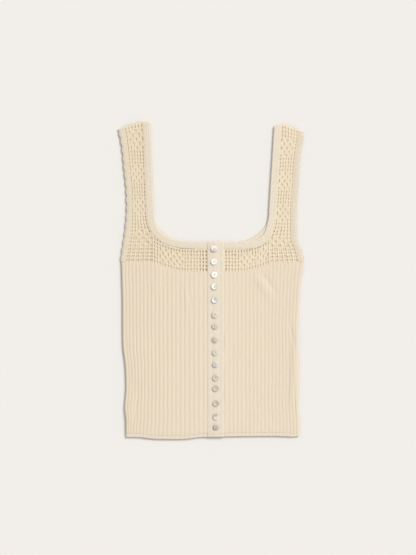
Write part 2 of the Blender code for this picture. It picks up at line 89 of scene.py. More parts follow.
# The ribs are spread by the body's width at this height, and they flare below the other
STEADY_HEIGHT = 200
FLARE_TOP = 75
# How full the first hollow beside the opening is, and how far that reaches, in ribs
OPENING_FILL = 0.75
OPENING_REACH = 0.35
# The ribs flatten over these lengths below the yoke and above the hem, down to this share
FADE_YOKE = 7
FADE_HEM = 3.5
FADED = 0.45
# How round the sides of the body are, and how far its underside may rise
FRONT_ROUND = 2.4
BACK_ROUND = 1.8
BACK_HOLLOW = 1.4

# Bands and edges: the placket, the neck band, the armhole edging and the hem
PLACKET_LEFT = -5.2
PLACKET_RIGHT = 22.9
PLACKET_SIDE = {LEFT: PLACKET_LEFT, RIGHT: PLACKET_RIGHT}
PLACKET_ROWS = 160
PLACKET_FOOT = (0.0, 0.3, 0.9, 1.8)
BUTTON_BAND_ROWS = 90
BUTTON_BAND_COLUMNS = 14
UNDERLAP = 3.5
CLIMB = 12.0
CLIMB_START = 0.9
NECK_BAND = 12.5
NECK_ROW = 2.6
NECK_TOP = 335.8
ARMHOLE_EDGE = 9.0
SCALLOP = 1.5
SCALLOP_PITCH = 14.0
SCALLOP_ROWS = 12
SCALLOP_FANS = 4
HEM_EDGE = 6.5
HEM_GROOVE = HEM_EDGE / 2
HEM_STEP = {"front": 1.1, "back": 3.3}
# The grooves of the placket, along the middle of the hem and its top: half their width, and depth
GROOVE = 0.6
GROOVE_DEPTH = 0.45
SEAM = 0.8
SEAM_DEPTH = 0.3
# The narrowest that a side of a strip's cut is taken to be
NARROWEST = 10.0

# The crochet: its rows and columns, from the strap's foot upwards and inwards
ROW_PITCH = 6.1
STRAP_COLUMNS = 6
STRAP_ROWS = 37
STRAP_FOOT = {LEFT: -98.0, RIGHT: 100.0}
STRAP_DIAMONDS = {LEFT: (6, 15, 24, 33), RIGHT: (4, 13, 22, 31)}
YOKE_ROWS = 7
YOKE_COLUMN = {LEFT: 4.715, RIGHT: 4.56}
YOKE_COLUMNS = {LEFT: 13, RIGHT: 10}
EVEN_COLUMNS = 6
BACK_EVEN_COLUMNS = 18
YOKE_DIAMONDS = {LEFT: (4, 8), RIGHT: (2, 8)}
# How high the yarn lies, how thick it is, and how far the net climbs to the bands beside it
NET_LIE = {"front": 2.95, "back": 1.98}
STRAP_WIDTH = {"front": 1.12, "back": 1.19}
YOKE_WIDTH = {"front": 1.08, "back": 1.15}
STRAP_LIFT = 0.15
PLACKET_LIFT = 1.1
PLACKET_REACH = 18
NECK_LIFT = 0.5
NECK_REACH = 11
NECK_SHARE = 0.72
# How far the net goes on under the neck band and the edging
YOKE_UNDER_BAND = 0.9
STRAP_UNDER_BAND = 0.5
UNDER_EDGING = 0.4
# How far below the shoulder the last row of a strap lies, and how far the others at least
LAST_ROW = 0.9
ROWS_STOP = 1.5
# How far a stitch strays, and how far an eyelet spreads the yarn round it
UNEVEN = 0.24
EYELET_REACH = 5.4
SMALL_EYELET = 0.4
# The two legs of a stitch, in shares of the yarn's radius, and how far round each goes, in degrees
LEG_APART = 1.47
LEG_FLAT = 0.43
LEG_SIDES = 6
LEG_WRAP = 145
# How a length of yarn thickens and rises at its knots
KNOT = 0.26
BETWEEN_KNOTS = 0.84
KNOT_LIFT = 0.12
STRAND_UNEVEN = 0.04
# The filled posts of a block stop short of its chains and lean a little, in shares of a cell
BLOCK_SHORT = 0.04
BLOCK_LEAN = 0.05
# The cells of a diamond: O is an eyelet, X a filled cell and - a plain one
DIAMOND = ("-XOX-", "XOXOX", "OXOXO", "XOXOX", "-XOX-")
# Eyelets two rows tall, by their column and the chain that is left out
TALL_EYELETS = {LEFT: ((1, 3), (2, 4), (3, 3), (2, 2)), RIGHT: ()}

# The buttons, from the top one down. Their line leans a little
BUTTON_HEIGHTS = (324, 302, 280, 260, 237, 212, 193, 170, 148, 128, 105, 87, 62, 39, 22)
BUTTON_TOP_X = 5.4
BUTTON_BOTTOM_X = 9.3
BUTTON_RADIUS = (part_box("button_01")[1].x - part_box("button_01")[0].x) / 2 / MM
SHELL_STEPS = 48
SHELL_DISH = 1.48
SHELL_FOOT = 4.6
HOLE_RADIUS = 0.75
HOLE_APART = 1.25
# How far from its middle a shell starts to darken on its far side, and is darkest
DARK_FROM = -2.5
DARK_TO = 4.0
# The thread: its radius, half the space between its two lengths, its arch, and how far down it ends
THREAD = 0.22
THREAD_APART = 0.2
THREAD_REACH = 1.3
THREAD_ARCH = 0.3
THREAD_LEVEL = 1.46
THREAD_DEPTH = 1.2

# Painted shade: where the cotton starts to darken towards the left, away from the lamp, and is
# darkest, in metres, and how much
FALLOFF_SHADE_FROM = 0.03
FALLOFF_SHADE_TO = -0.13
FALLOFF_SHADE_MOST = 0.35

# The stage, with its lengths in metres, apart from the middle of the view, a point of the plan
TABLE_REACH = 3.0
TABLE_DROP = 0.0002
LAMP_FROM = (0.58, 0.56, 0.78)
LAMP_COLOUR = (1.0, 0.985, 0.96)
VIEW_MIDDLE = (-4.7, 275.4)
VIEW_HEIGHT = 0.9435
VIEW_DISTANCE = 3.0

Fold = namedtuple("Fold", "across height half_length half_width turn rise")
Turn = namedtuple("Turn", "distance underside share")
Rib = namedtuple("Rib", "distance rise")
# Spot: a point of a sheet, its underside and top, its stitch map, and how deep in a hollow it lies,
# which sets the painted shade of the knit there
Spot = namedtuple("Spot", "x y low high u v hollow")
Shell = namedtuple("Shell", "pearl cool dark away tilt")
Strand = namedtuple("Strand", "width lift")
Kind = namedtuple("Kind", "solid finish slot sharp")

# Each kind of piece: the solids that it stands for, its material, its slot, and the angle between
# two faces from which its shading breaks
KINDS = {
    "ribbed": Kind("body", "ribbed_cotton", "rib_knit", 55),
    "neck_banding": Kind("neck_band", "band_cotton", "banding", 55),
    "hem_banding": Kind("hem_edge", "band_cotton", "banding", 55),
    "button_banding": Kind("button_band", "band_cotton", "banding", 55),
    "buttonhole_banding": Kind("buttonhole_band", "band_cotton", "banding", 55),
    "armhole_edging": Kind("armhole_edge", "edging_cotton", "banding", 55),
    "strap_net": Kind("crochet_strap", "crochet_cotton", "crochet", 75),
    "yoke_net": Kind("crochet_yoke", "crochet_cotton", "crochet", 75),
    "shell_button": Kind("button", "button_shell", "shell", 40),
    "button_thread": Kind(None, "crochet_cotton", "crochet", 75),
}

CHAIN = Strand(0.95, -0.1)
POST = Strand(1.0, 0.1)
BLOCK_POST = Strand(0.8, 0.12)


def table(kind, *rows):
    """Rows of numbers under the names of their columns."""
    return [kind(*row) for row in rows]


# The outer edges by height, left and right: the body's sides, then the armholes above UNDERARM
OUTLINE = (
    (4, -144.1, 150.0), (25, -144.1, 150.4), (50, -146.6, 148.3), (84, -144.1, 149.2),
    (118, -145.4, 149.2), (152, -149.4, 148.3), (186, -150.0, 148.3), (220, -150.0, 150.0),
    (254, -150.9, 152.2), (285, -151.7, 156.8), (302, -153.1, 157.5), (322, -150.9, 153.4),
    (339, -148.2, 146.6), (365, -144.9, 145.8), (390, -143.2, 145.8), (424, -144.1, 148.3),
    (458, -147.5, 150.0), (492, -150.9, 153.4), (509, -153.4, 156.0), (530, -157.7, 157.4),
)
# Where the armholes start, where the sides are last read, and the middle between the halves
UNDERARM = 302
BODY_TOP = UNDERARM - 12
MIDDLE = 5

# Points across and up, from left to right
HEM = (
    (-150, 4.2), (-123, 4.1), (-108, 2.4), (-90, 0.8), (-52, 0.5), (-34, 1.9), (-18, 4.0),
    (16, 5.0), (110, 5.9), (128, 5.2), (140, 4.8), (152, 6.0),
)
YOKE_SEAM = (
    (-155, 301.8), (-103, 301.8), (-86, 296.6), (-69, 290.7), (-52, 286.6), (-35, 285.6),
    (50, 285.6), (63, 287.3), (87, 294.1), (104, 300.1), (158, 301.8),
)
SHOULDER = {
    LEFT: (
        (-157.7, 527.0), (-140.7, 533.8), (-128.8, 537.2), (-115.2, 539.8), (-106.7, 540.8),
        (-103.3, 539.5),
    ),
    RIGHT: (
        (107.5, 532.5), (112.6, 535.2), (119.4, 536.4), (131.3, 532.9), (141.5, 528.7),
        (157.4, 522.6),
    ),
}
SHOULDER_HEIGHT = 530

# Where the rows of the straps and the yoke start to bend towards the seam and the shoulder
SHOULDER_BEND = 490
STRAP_LEVEL = 340
YOKE_LEVEL = 74
NECK_SLANT = 40

# The neck's edge, from the shoulder to the opening of the front or the middle of the back
FRONT_NECK = {
    LEFT: (
        (-103.3, 539.5), (-100.7, 492), (-99.0, 441), (-97.3, 399), (-96.4, 380), (-94.6, 369),
        (-90.5, 360), (-85.0, 352.8), (-77.8, 346.8), (-69.3, 342.4), (-59.0, 339.3),
        (-44.0, 337.2), (PLACKET_LEFT - GAP / 2, NECK_TOP),
    ),
    RIGHT: (
        (107.5, 532.5), (105.8, 506), (102.4, 451), (99.0, 394), (98.2, 380), (95.6, 366.3),
        (92.6, 355.5), (87.6, 346.8), (80.3, 340.6), (70.1, 337.0), (56.0, NECK_TOP),
        (PLACKET_RIGHT + GAP / 2, NECK_TOP),
    ),
}
BACK_NECK = {
    LEFT: (
        (-104.0, 539.0), (-101.5, 492), (-98.5, 399), (-96.8, 382), (-92.8, 367), (-84.6, 355.5),
        (-76.0, 348.5), (-64.0, 342.0), (-44.0, 336.0), (0.0, 334.5),
    ),
    RIGHT: (
        (108.2, 532.5), (106.5, 506), (99.6, 394), (98.4, 382), (95.0, 369), (88.8, 357.8),
        (80.3, 350.2), (71.8, 344.2), (63.3, 340.0), (44.0, 335.6), (0.0, 334.5),
    ),
}

# Soft folds of the fronts: each rises from the back along a line, turned in degrees from upright
FOLDS = table(
    Fold,
    (141, 118, 100, 9, -2, 1.5), (88, 262, 34, 11, 34, 1.1), (-138, 45, 48, 10, -8, 0.9),
    (-44, 235, 42, 8, 2, 0.6), (-92, 268, 26, 10, -30, 0.8), (-6, 165, 215, 46, 0, 1.0),
)
# Creases finer than the folds, in the top of the cloth alone
CREASES = table(
    Fold,
    (-45, 232, 34, 3.2, 3, -0.7), (-34, 238, 26, 2.6, 5, -0.5), (102, 262, 26, 3.4, 38, -0.7),
    (92, 276, 16, 2.8, 52, -0.5), (138, 178, 34, 2.6, 13, -0.9), (141.5, 78, 58, 2.6, 2, -0.8),
    (-141.5, 157, 12, 1.8, 0, -0.7), (-126, 60, 44, 3.0, -11, -0.5),
    (-112, 284, 15, 3.0, -24, -0.5), (60, 60, 38, 3.6, 4, -0.35),
)
BAND_CREASES = table(
    Fold,
    (92, 345, 11, 3.2, 38, -0.55), (84, 339, 9, 2.6, 52, 0.3), (-86, 347, 10, 2.8, -42, -0.4),
    (-101, 430, 16, 2.4, 8, -0.3), (103, 470, 20, 2.4, -6, -0.3), (52, 331, 12, 2.6, 74, -0.3),
)
BACK_CREASES = table(
    Fold,
    (-96, 190, 60, 3.6, 6, 0.6), (118, 96, 48, 3.2, -7, 0.5), (34, 252, 30, 3.0, 12, 0.5),
    (-40, 60, 34, 3.4, -4, 0.4),
)

# The front turns down over the end of the back at the shoulder
SHOULDER_TURN = table(
    Turn,
    (3.7, FRONT, 1.0), (3.4, 0.0, 1.0), (1.4, 0.0, 0.93), (0.4, 0.5, 0.6), (0.0, 1.4, 0.25),
)
BACK_SHORT = 4.2
EDGING_SHORT = 4.0
EDGING_LENGTH = 232
EDGING_SHARES = (0.0, 0.04, 0.12, 0.3, 0.5, 0.7, 0.86, 1.0)
NET_TURN = 6

# Across the bands, by the distance from the free edge
NECK_RIBS = table(
    Rib,
    (0.0, -1.3), (0.25, -0.5), (0.8, 0.15), (1.6, 0.36), (2.6, 0.36), (3.3, 0.25), (3.8, 0.05),
    (4.3, 0.2), (5.2, 0.3), (6.4, 0.27), (7.1, 0.14), (7.6, 0.0), (8.1, 0.1), (9.0, 0.12),
    (9.9, 0.06), (10.8, -0.05), (11.7, -0.18), (NECK_BAND, -0.4),
)
HEM_RIBS = table(
    Rib,
    (0.0, -0.9), (0.2, -0.25), (0.6, 0.15), (1.5, 0.3), (2.3, 0.27), (2.9, 0.15), (3.25, -0.03),
    (3.6, 0.14), (4.2, 0.26), (5.0, 0.26), (5.9, 0.2), (HEM_EDGE + GAP / 2, 0.1),
)
PLACKET_STRIPS = table(
    Rib,
    (0.0, -0.4), (0.5, -0.1), (1.2, 0.0), (2.0, 0.05), (3.2, 0.05), (4.6, 0.08), (6.4, 0.03),
    (7.5, -0.2), (8.3, -0.3), (9.2, -0.15), (11.5, -0.06), (14.6, -0.04), (17.9, -0.06),
    (20.2, -0.15), (21.0, -0.32), (21.8, -0.15), (22.8, 0.0), (24.6, 0.06), (26.4, 0.05),
    (27.4, -0.08), (27.8, -0.3), (28.1, -0.8),
)

# How each shell looks, from the top one down: how bright and how blue it is, how dark its far side
# is and which way that lies, in degrees from the right, and its tilt
SHELLS = table(
    Shell,
    (0.85, 0.15, 0.75, 280, 1.0), (1.0, 0.0, 0.3, 0, 0.6), (1.0, 0.15, 0.15, -40, 0.8),
    (0.95, 0.0, 0.75, 0, 2.0), (0.85, 0.8, 0.85, 10, 1.6), (0.3, 0.1, 0.5, 200, 1.6),
    (0.1, 0.1, 0.45, 250, 1.0), (0.1, 0.1, 0.9, 215, 1.0), (0.2, 0.0, 0.35, 160, 1.0),
    (0.35, 0.5, 0.7, 190, 1.2), (0.1, 0.1, 0.7, 50, 0.9), (0.05, 0.1, 1.0, 50, 1.2),
    (0.0, 0.1, 1.2, 30, 1.2), (0.6, 0.2, 1.0, 110, 1.2), (0.0, 0.3, 1.3, 240, 1.2),
)
# The shell's outline from its foot over the rim: how far in from its widest, and how high
SHELL_RIM = (
    (0.9, 0.0), (0.35, 0.25), (0.0, 0.8), (0.1, 1.2), (0.6, 1.68), (1.2, 1.86), (1.7, 1.84),
    (2.3, 1.66), (3.1, 1.52),
)


def through(rows):
    """A smooth function of the first column of the rows. It passes through each and no further."""
    grid = np.array(rows, float)
    at, values = grid[:, 0], grid[:, 1:]
    steps = np.diff(values, axis=0) / np.diff(at)[:, None]
    before, after = np.vstack([steps[:1], steps]), np.vstack([steps, steps[-1:]])
    same_way = before * after > 0
    total = np.where(same_way, before + after, 1.0)
    slopes = np.where(same_way, 2 * before * after / total, 0.0)

    def value(t):
        t = min(max(t, at[0]), at[-1])
        i = min(int(np.searchsorted(at, t, "right")) - 1, len(at) - 2)
        step = at[i + 1] - at[i]
        s = (t - at[i]) / step
        blend = (3 - 2 * s) * s * s
        bend = step * s * (1 - s) * ((1 - s) * slopes[i] - s * slopes[i + 1])
        return values[i] * (1 - blend) + values[i + 1] * blend + bend

    return value


OUTLINE_AT = through(OUTLINE)
HEM_AT = through(HEM)
SEAM_AT = through(YOKE_SEAM)
SHOULDER_AT = {hand: through(rows) for hand, rows in SHOULDER.items()}


def outer(hand, height):
    """How far across the outer edge lies on one side."""
    left, right = OUTLINE_AT(height)
    return left if hand == LEFT else right


def hem(across):
    return HEM_AT(across)[0]


def yoke_seam(across):
    return SEAM_AT(across)[0]


def shoulder(hand, across):
    return SHOULDER_AT[hand](across)[0]


def ramp(value, low, high):
    """0 up to low, 1 from high on, and straight between."""
    return min(max((value - low) / (high - low), 0.0), 1.0)


def eased(share):
    return share * share * (3 - 2 * share)


def spread(start, end, count):
    return [start + (end - start) * i / count for i in range(count + 1)]


def edge_fall(distance, radius):
    """How far cloth falls at a soft edge, by the distance from it."""
    inside = min(max(0.0, 1 - distance / radius), 1.0)
    return radius * (1 - math.sqrt(1 - inside * inside))


def wander(x, y, size, seed=0.0):
    """A slow unevenness between -1 and 1, the same each time."""
    return noise.noise(Vector((x / size, y / size, seed)))


def folds_at(folds, across, height):
    """How far a set of folds lifts the cloth at a point."""
    rise = 0.0
    for fold in folds:
        turn = math.radians(fold.turn)
        dx, dy = across - fold.across, height - fold.height
        along = (dy * math.cos(turn) - dx * math.sin(turn)) / fold.half_length
        aside = (dx * math.cos(turn) + dy * math.sin(turn)) / fold.half_width
        inside = max(0.0, 1 - along * along) * max(0.0, 1 - aside * aside)
        rise += fold.rise * inside * inside
    return rise


def from_button():
    """What takes a point of the plan to the row's frame, read off the lowest button."""
    low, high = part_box("button_15")
    middle = (low + high) / 2 / MM
    return np.array([middle.x - BUTTON_BOTTOM_X, middle.y - BUTTON_HEIGHTS[-1], 0.0])


OFFSET = from_button()


class Line:
    """A smooth line through the points of a table, by the distance along it."""

    def __init__(self, points):
        spots = np.array(points, float)
        steps = np.hypot(*np.diff(spots, axis=0).T)
        run = np.concatenate([[0.0], np.cumsum(steps)])
        self.length = run[-1]
        self.at = through(np.column_stack([run, spots]))

    def offset(self, distance, aside, hand):
        """The point beside the line on its cloth side."""
        ahead = self.at(distance + 1.0) - self.at(distance - 1.0)
        ahead /= np.hypot(*ahead)
        return self.at(distance) + aside * hand * np.array([-ahead[1], ahead[0]])

    def beside(self, aside, hand):
        """Points of the line that runs beside this one."""
        stops = spread(0, self.length, int(self.length / 3))
        return np.array([self.offset(stop, aside, hand) for stop in stops])


class Half:
    """One hand's half of the yoke and its strap, in the front or the back layer."""

    def __init__(self, hand, neck, underside):
        self.hand = hand
        self.neck = Line(neck)
        self.underside = underside
        self.foot = STRAP_FOOT[hand]
        beside = self.neck.beside(NECK_BAND + GAP, hand)[::-1]
        outwards = np.abs(beside[:, 0])
        on_strap = outwards > abs(self.foot)
        crossing = [self.foot, np.interp(abs(self.foot), outwards, beside[:, 1])]
        self.strap_line = np.vstack([crossing, beside[on_strap]])
        self.yoke_line = np.vstack([beside[~on_strap], crossing])
        if hand == LEFT:
            self.yoke_line = self.yoke_line[::-1]

    def strap_inner(self, height):
        """How far across the crochet of the strap ends on its neck side."""
        return np.interp(height, self.strap_line[:, 1], self.strap_line[:, 0])

    def yoke_top(self, across):
        """The height at which the yoke meets the neck band."""
        return np.interp(across, self.yoke_line[:, 0], self.yoke_line[:, 1])

    def strap_spot(self, share, height):
        """A point of the strap, from its armhole side (0) to its neck side (1)."""
        start = outer(self.hand, height) - self.hand * (ARMHOLE_EDGE - UNDER_EDGING)
        settled = self.settle(self.strap_inner(height), height)
        end = self.strap_inner(settled) - self.hand * STRAP_UNDER_BAND
        across = start + share * (end - start)
        return across, self.settle(across, height)

    def settle(self, across, height):
        """Bends a level row so that it follows the yoke seam below and the shoulder above."""
        low = yoke_seam(across) + GAP / 2 - UNDERARM
        high = shoulder(self.hand, across) - SHOULDER_HEIGHT
        low *= 1 - ramp(height, UNDERARM, STRAP_LEVEL)
        high *= ramp(height, SHOULDER_BEND, SHOULDER_HEIGHT)
        return height + low + high


FRONTS = {hand: Half(hand, FRONT_NECK[hand], FRONT) for hand in (LEFT, RIGHT)}
BACKS = {hand: Half(hand, BACK_NECK[hand], 0.0) for hand in (LEFT, RIGHT)}


# Materials


class Value:
    """A number in a material. Python's operators on it add Math nodes."""

    def __init__(self, finish, output):
        self.finish, self.output = finish, output

    def math(self, kind, *numbers):
        return self.finish.add("ShaderNodeMath", {"operation": kind}, numbers)

    def __add__(self, other):
        return self.math("ADD", self, other)

    def __sub__(self, other):
        return self.math("SUBTRACT", self, other)

    def __rsub__(self, other):
        return self.math("SUBTRACT", other, self)

    def __mul__(self, other):
        return self.math("MULTIPLY", self, other)

    def __abs__(self):
        return self.math("ABSOLUTE", self)

    __radd__ = __add__
    __rmul__ = __mul__

    def fraction(self):
        return self.math("FRACT", self)

    def wave(self):
        """A wave between -1 and 1 that repeats with each whole number."""
        return self.math("SINE", self * math.tau)

    def smooth(self, low, high):
        """0 up to low, 1 from high on, and smooth between."""
        eased_range = {"interpolation_type": "SMOOTHSTEP"}
        return self.finish.add("ShaderNodeMapRange", eased_range, {0: self, 1: low, 2: high})


class Finish:
    """One material under construction."""

    def __init__(self, name):
        self.material = bpy.data.materials.new(name)
        self.material.use_nodes = True
        self.tree = self.material.node_tree
        self.shader = self.tree.nodes["Principled BSDF"]

    def add(self, kind, settings=None, inputs=(), output=0):
        """Adds a node: its settings first, then the values or links of its sockets."""
        node = self.tree.nodes.new(kind)
        for key, setting in (settings or {}).items():
            setattr(node, key, setting)
        pairs = inputs.items() if isinstance(inputs, dict) else enumerate(inputs)
        for place, value in pairs:
            self.feed(node.inputs[place], value)
        return Value(self, node.outputs[output])

    def feed(self, socket, value):
        if isinstance(value, Value):
            self.tree.links.new(value.output, socket)
        else:
            socket.default_value = value

    def set(self, **sockets):
        """Sets or links sockets of the shader, with _ for each space in a name."""
        for name, value in sockets.items():
            self.feed(self.shader.inputs[name.replace("_", " ")], value)

    def mix(self, factor, first, second):
        """Mixes two colours, each a link or its red, green and blue."""
        inputs = {0: factor, 6: first, 7: second}
        for place in (6, 7):
            if isinstance(inputs[place], tuple):
                inputs[place] = (*inputs[place], 1)
        return self.add("ShaderNodeMix", {"data_type": "RGBA"}, inputs, 2)

    def attribute(self, name):
        return self.add("ShaderNodeAttribute", {"attribute_name": name}, output=2)

    def place(self):
        return self.add("ShaderNodeTexCoord", output=3)

    def axis(self, vector, number):
        return self.add("ShaderNodeSeparateXYZ", None, [vector], number)

    def bands(self, scale, distortion, detail, detail_scale):
        """Slanting bands, bent by a noise."""
        settings = {"wave_type": "BANDS", "bands_direction": "DIAGONAL"}
        inputs = {"Vector": self.place(), "Scale": scale, "Distortion": distortion}
        inputs.update({"Detail": detail, "Detail Scale": detail_scale})
        return self.add("ShaderNodeTexWave", settings, inputs, 1)

    def noise(self, scale, detail=2.0, rough=0.5):
        inputs = {"Vector": self.place(), "Scale": scale, "Detail": detail, "Roughness": rough}
        return self.add("ShaderNodeTexNoise", None, inputs)

    def dull(self, tone, shaded_tone):
        """Painted shade: a tone that darkens slowly towards the left, away from the lamp."""
        left = self.axis(self.place(), 0).smooth(FALLOFF_SHADE_FROM, FALLOFF_SHADE_TO)
        return self.mix(left * FALLOFF_SHADE_MOST, tone, shaded_tone)

    def cotton(self, tone, roughness, sheen, fuzz, relief):
        """Makes the shader cotton, with faint fuzz over its relief."""
        self.set(
            Base_Color=tone,
            Roughness=roughness,
            Specular_IOR_Level=0.25,
            Sheen_Weight=sheen,
            Sheen_Roughness=0.5,
            Normal=self.bump(fuzz, 0.12, relief),
        )
        return self.material

    def bump(self, height, depth, under=None):
        """Raises the surface by a height between 0 and 1, depth in millimetres."""
        inputs = {"Height": height, "Strength": 1.0, "Distance": depth * MM}
        if under is not None:
            inputs["Normal"] = under
        return self.add("ShaderNodeBump", None, inputs)


def tint(colour, factor):
    return tuple(channel * factor for channel in colour)


def cotton_knit(name, colour, hollow_shade_tone, wale, course, relief):
    """Knitted cotton: columns of V stitches in the piece's own stitch map, in millimetres, with
    painted shade in its hollows, between its stitch legs and towards the left.
    """
    finish = Finish(name)
    stitches = finish.add("ShaderNodeUVMap", {"uv_map": "Stitches"})
    across = finish.axis(stitches, 0) * (1 / wale)
    up = finish.axis(stitches, 1) * (1 / course)
    aside = abs((across.fraction() - 0.5) * 2.0)
    leg = (up + aside * 0.55).wave() * 0.5 + 0.5
    stitch = leg * (1.0 - aside * aside * aside)
    fuzz = finish.noise(1400.0, 3.0, 0.6)
    cloudy = finish.noise(26.0, 3.0)
    # Painted shade: the colour darkens towards the hollow shade tone in the hollows of the ribs and
    # the grooves of the bands
    hollow = finish.attribute("hollow")
    hollow_shaded = finish.mix(hollow.smooth(0.0, 1.0), colour, hollow_shade_tone)
    tone = finish.mix(cloudy.smooth(0.3, 0.7) * 0.35, hollow_shaded, tint(hollow_shade_tone, 1.04))
    # Painted shade towards the left, away from the lamp
    falloff_shaded = finish.dull(tone, tint(hollow_shade_tone, 0.95))
    # Painted shade between the legs of the stitches, where the stitch height is low
    shaded = finish.mix((1.0 - stitch) * 0.22, falloff_shaded, tint(hollow_shade_tone, 0.86))
    return finish.cotton(shaded, 0.86, 0.12, fuzz, finish.bump(stitch, relief))


def cotton_yarn(name, colour, deep_colour):
    """Cotton yarn: wraps of twisted plies that run slantwise over the stitches, and faint fuzz,
    with painted shade between the plies and towards the left.
    """
    finish = Finish(name)
    fuzz = finish.noise(1800.0, 3.0, 0.65)
    plies = finish.bands(460.0, 3.0, 1.0, 0.6)
    cloudy = finish.noise(45.0, 2.0)
    tone = finish.mix(cloudy.smooth(0.3, 0.7) * 0.5, colour, deep_colour)
    # Painted shade towards the left, away from the lamp
    falloff_shaded = finish.dull(tone, tint(deep_colour, 0.88))
    # Painted shade in the grooves between the plies
    shaded = finish.mix((1.0 - plies) * 0.3, falloff_shaded, tint(deep_colour, 0.88))
    return finish.cotton(shaded, 0.82, 0.1, fuzz, finish.bump(plies, 0.22))


def pearl_shell(name, pearl_colour, plain_colour):
    """Polished shell: clouded growth bands that shift from cream to blue and rose."""
    finish = Finish(name)
    bands = finish.bands(70.0, 9.0, 2.0, 60.0)
    clouds = finish.noise(190.0, 3.0)
    pearl, cool, dark = (finish.attribute(name) for name in ("pearl", "cool", "dark"))
    body = finish.mix(pearl, plain_colour, pearl_colour)
    blue = finish.mix(cool * clouds.smooth(0.38, 0.6) * 0.7, body, (0.45, 0.50, 0.58))
    rose = finish.mix(bands.smooth(0.35, 0.9) * 0.15, blue, (0.86, 0.70, 0.64))
    away = finish.mix(cool, (0.40, 0.36, 0.28), (0.36, 0.38, 0.42))
    shaded = finish.mix(dark * (0.7 + 0.3 * clouds.smooth(0.4, 0.6)), rose, away)
    finish.set(
        Base_Color=shaded,
        Roughness=0.22 + bands * 0.12,
        Specular_IOR_Level=0.5,
        Coat_Weight=0.3,
        Coat_Roughness=0.1,
        Normal=finish.bump(bands, 0.05),
    )
    return finish.material


def pale_table(name, colour):
    finish = Finish(name)
    grain = finish.noise(60.0, 4.0)
    finish.set(
        Base_Color=finish.mix(grain * 0.04, colour, tint(colour, 0.9)),
        Roughness=0.95,
        Specular_IOR_Level=0.1,
    )
    return finish.material


def look(name):
    """The material of that name, built the first time it is asked for."""
    colours = bpy.context.scene.top_colours
    builders = {
        # The second tone of each knit is the painted shade of its hollows
        "ribbed_cotton": (cotton_knit, colours.knit, colours.knit_hollow_shade, 1.35, 1.1, 0.22),
        "band_cotton": (cotton_knit, colours.band, colours.band_hollow_shade, 1.1, 0.95, 0.18),
        "edging_cotton": (cotton_knit, colours.edging, tint(colours.edging, 0.9), 1.9, 1.2, 0.2),
        "crochet_cotton": (cotton_yarn, colours.yarn, colours.yarn_deep),
        "button_shell": (pearl_shell, colours.pearl, colours.shell),
        "pale_table": (pale_table, colours.table),
    }
    build, *values = builders[name]
    values = [value if isinstance(value, float) else tuple(value) for value in values]
    return bpy.data.materials.get(name) or build(name, *values)


# Meshes


def on_side(layer, hand):
    """How the name of a piece ends, by its layer and side."""
    return f"_{layer}_{SIDE_NAME[hand]}"


def placed(name, held):
    """An object in the scene, with the mesh, lamp or camera that it holds."""
    thing = bpy.data.objects.new(name, held)
    bpy.context.scene.collection.objects.link(thing)
    return thing


def finished(kind, where, mesh):
    """Makes a mesh in metres a piece, and hides the solid that it stands for."""
    solid, finish, slot, sharp = KINDS[kind]
    mesh.name = kind + where
    mesh.materials.clear()
    mesh.materials.append(look(finish))
    mesh.shade_smooth()
    mesh.set_sharp_from_angle(angle=math.radians(sharp))
    piece = placed(kind + where, mesh)
    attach(piece, "root")
    if solid:
        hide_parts(solid + where)
    return piece


def to_row(point):
    """A point of the plan, in millimetres, in the row's frame in metres."""
    return Vector((np.array(point, float) + OFFSET) * MM)


def new_mesh(name, shape):
    """The finished bmesh as a mesh, with its faces in the same order each run."""
    shape.verts.index_update()
    faces = sorted(shape.faces, key=lambda face: sorted(vertex.index for vertex in face.verts))
    for number, face in enumerate(faces):
        face.index = number
    shape.faces.sort()
    mesh = bpy.data.meshes.new(name)
    shape.to_mesh(mesh)
    shape.free()
    return mesh


def cloth(kind, where, across, along, place, cut=None):
    """A laid sheet, a closed wall of cloth: place gives a Spot for each pair of stops."""
    shape = bmesh.new()
    columns, rows = len(across) - 1, len(along) - 1
    bmesh.ops.create_grid(shape, x_segments=columns, y_segments=rows, size=0.5)
    under = set(shape.verts)
    bmesh.ops.extrude_face_region(shape, geom=list(shape.faces))
    spots, maps = {}, []
    for vertex in shape.verts:
        cell = round((vertex.co.x + 0.5) * columns), round((vertex.co.y + 0.5) * rows)
        if cell not in spots:
            spots[cell] = place(across[cell[0]], along[cell[1]])
        spot = spots[cell]
        vertex.co = to_row((spot.x, spot.y, spot.low if vertex in under else spot.high))
        maps.append((spot.u, spot.v, spot.hollow))
    bmesh.ops.recalc_face_normals(shape, faces=shape.faces)
    mesh = new_mesh(kind, shape)
    maps = np.array(maps, np.float32)
    corners = np.empty(len(mesh.loops), np.int32)
    mesh.loops.foreach_get("vertex_index", corners)
    mesh.uv_layers.new(name="Stitches").data.foreach_set("uv", maps[corners, :2].ravel())
    # The hollow share, which paints shade into the knit's hollows
    mesh.attributes.new("hollow", "FLOAT", "POINT").data.foreach_set("value", maps[:, 2].copy())
    declare(finished(kind, where, mesh), cut)


def declare(piece, cut):
    """Works out a laid sheet's area and sides from its cut, a strip's width and length, or else its
    own plan. Nothing is done with them.
    """
    mesh = piece.data
    if cut:
        area = cut[0] * cut[1] * MM * MM
        sides = [max(side, NARROWEST) * MM for side in cut]
        return
    points = np.empty(len(mesh.vertices) * 3, np.float32)
    mesh.vertices.foreach_get("co", points)
    width, length, _ = np.ptp(points.reshape(-1, 3), axis=0)
    plan = sum(abs(face.normal.z) * face.area for face in mesh.polygons) / 2
    area = min(plan, float(width * length))


def evaluated(helpers, kept_in):
    """The mesh that the first helper makes. The helpers and what they hold are then removed."""
    graph = bpy.context.evaluated_depsgraph_get()
    mesh = bpy.data.meshes.new_from_object(helpers[0].evaluated_get(graph))
    for helper in helpers:
        held = helper.data
        bpy.data.objects.remove(helper)
        kept_in.remove(held)
    return mesh


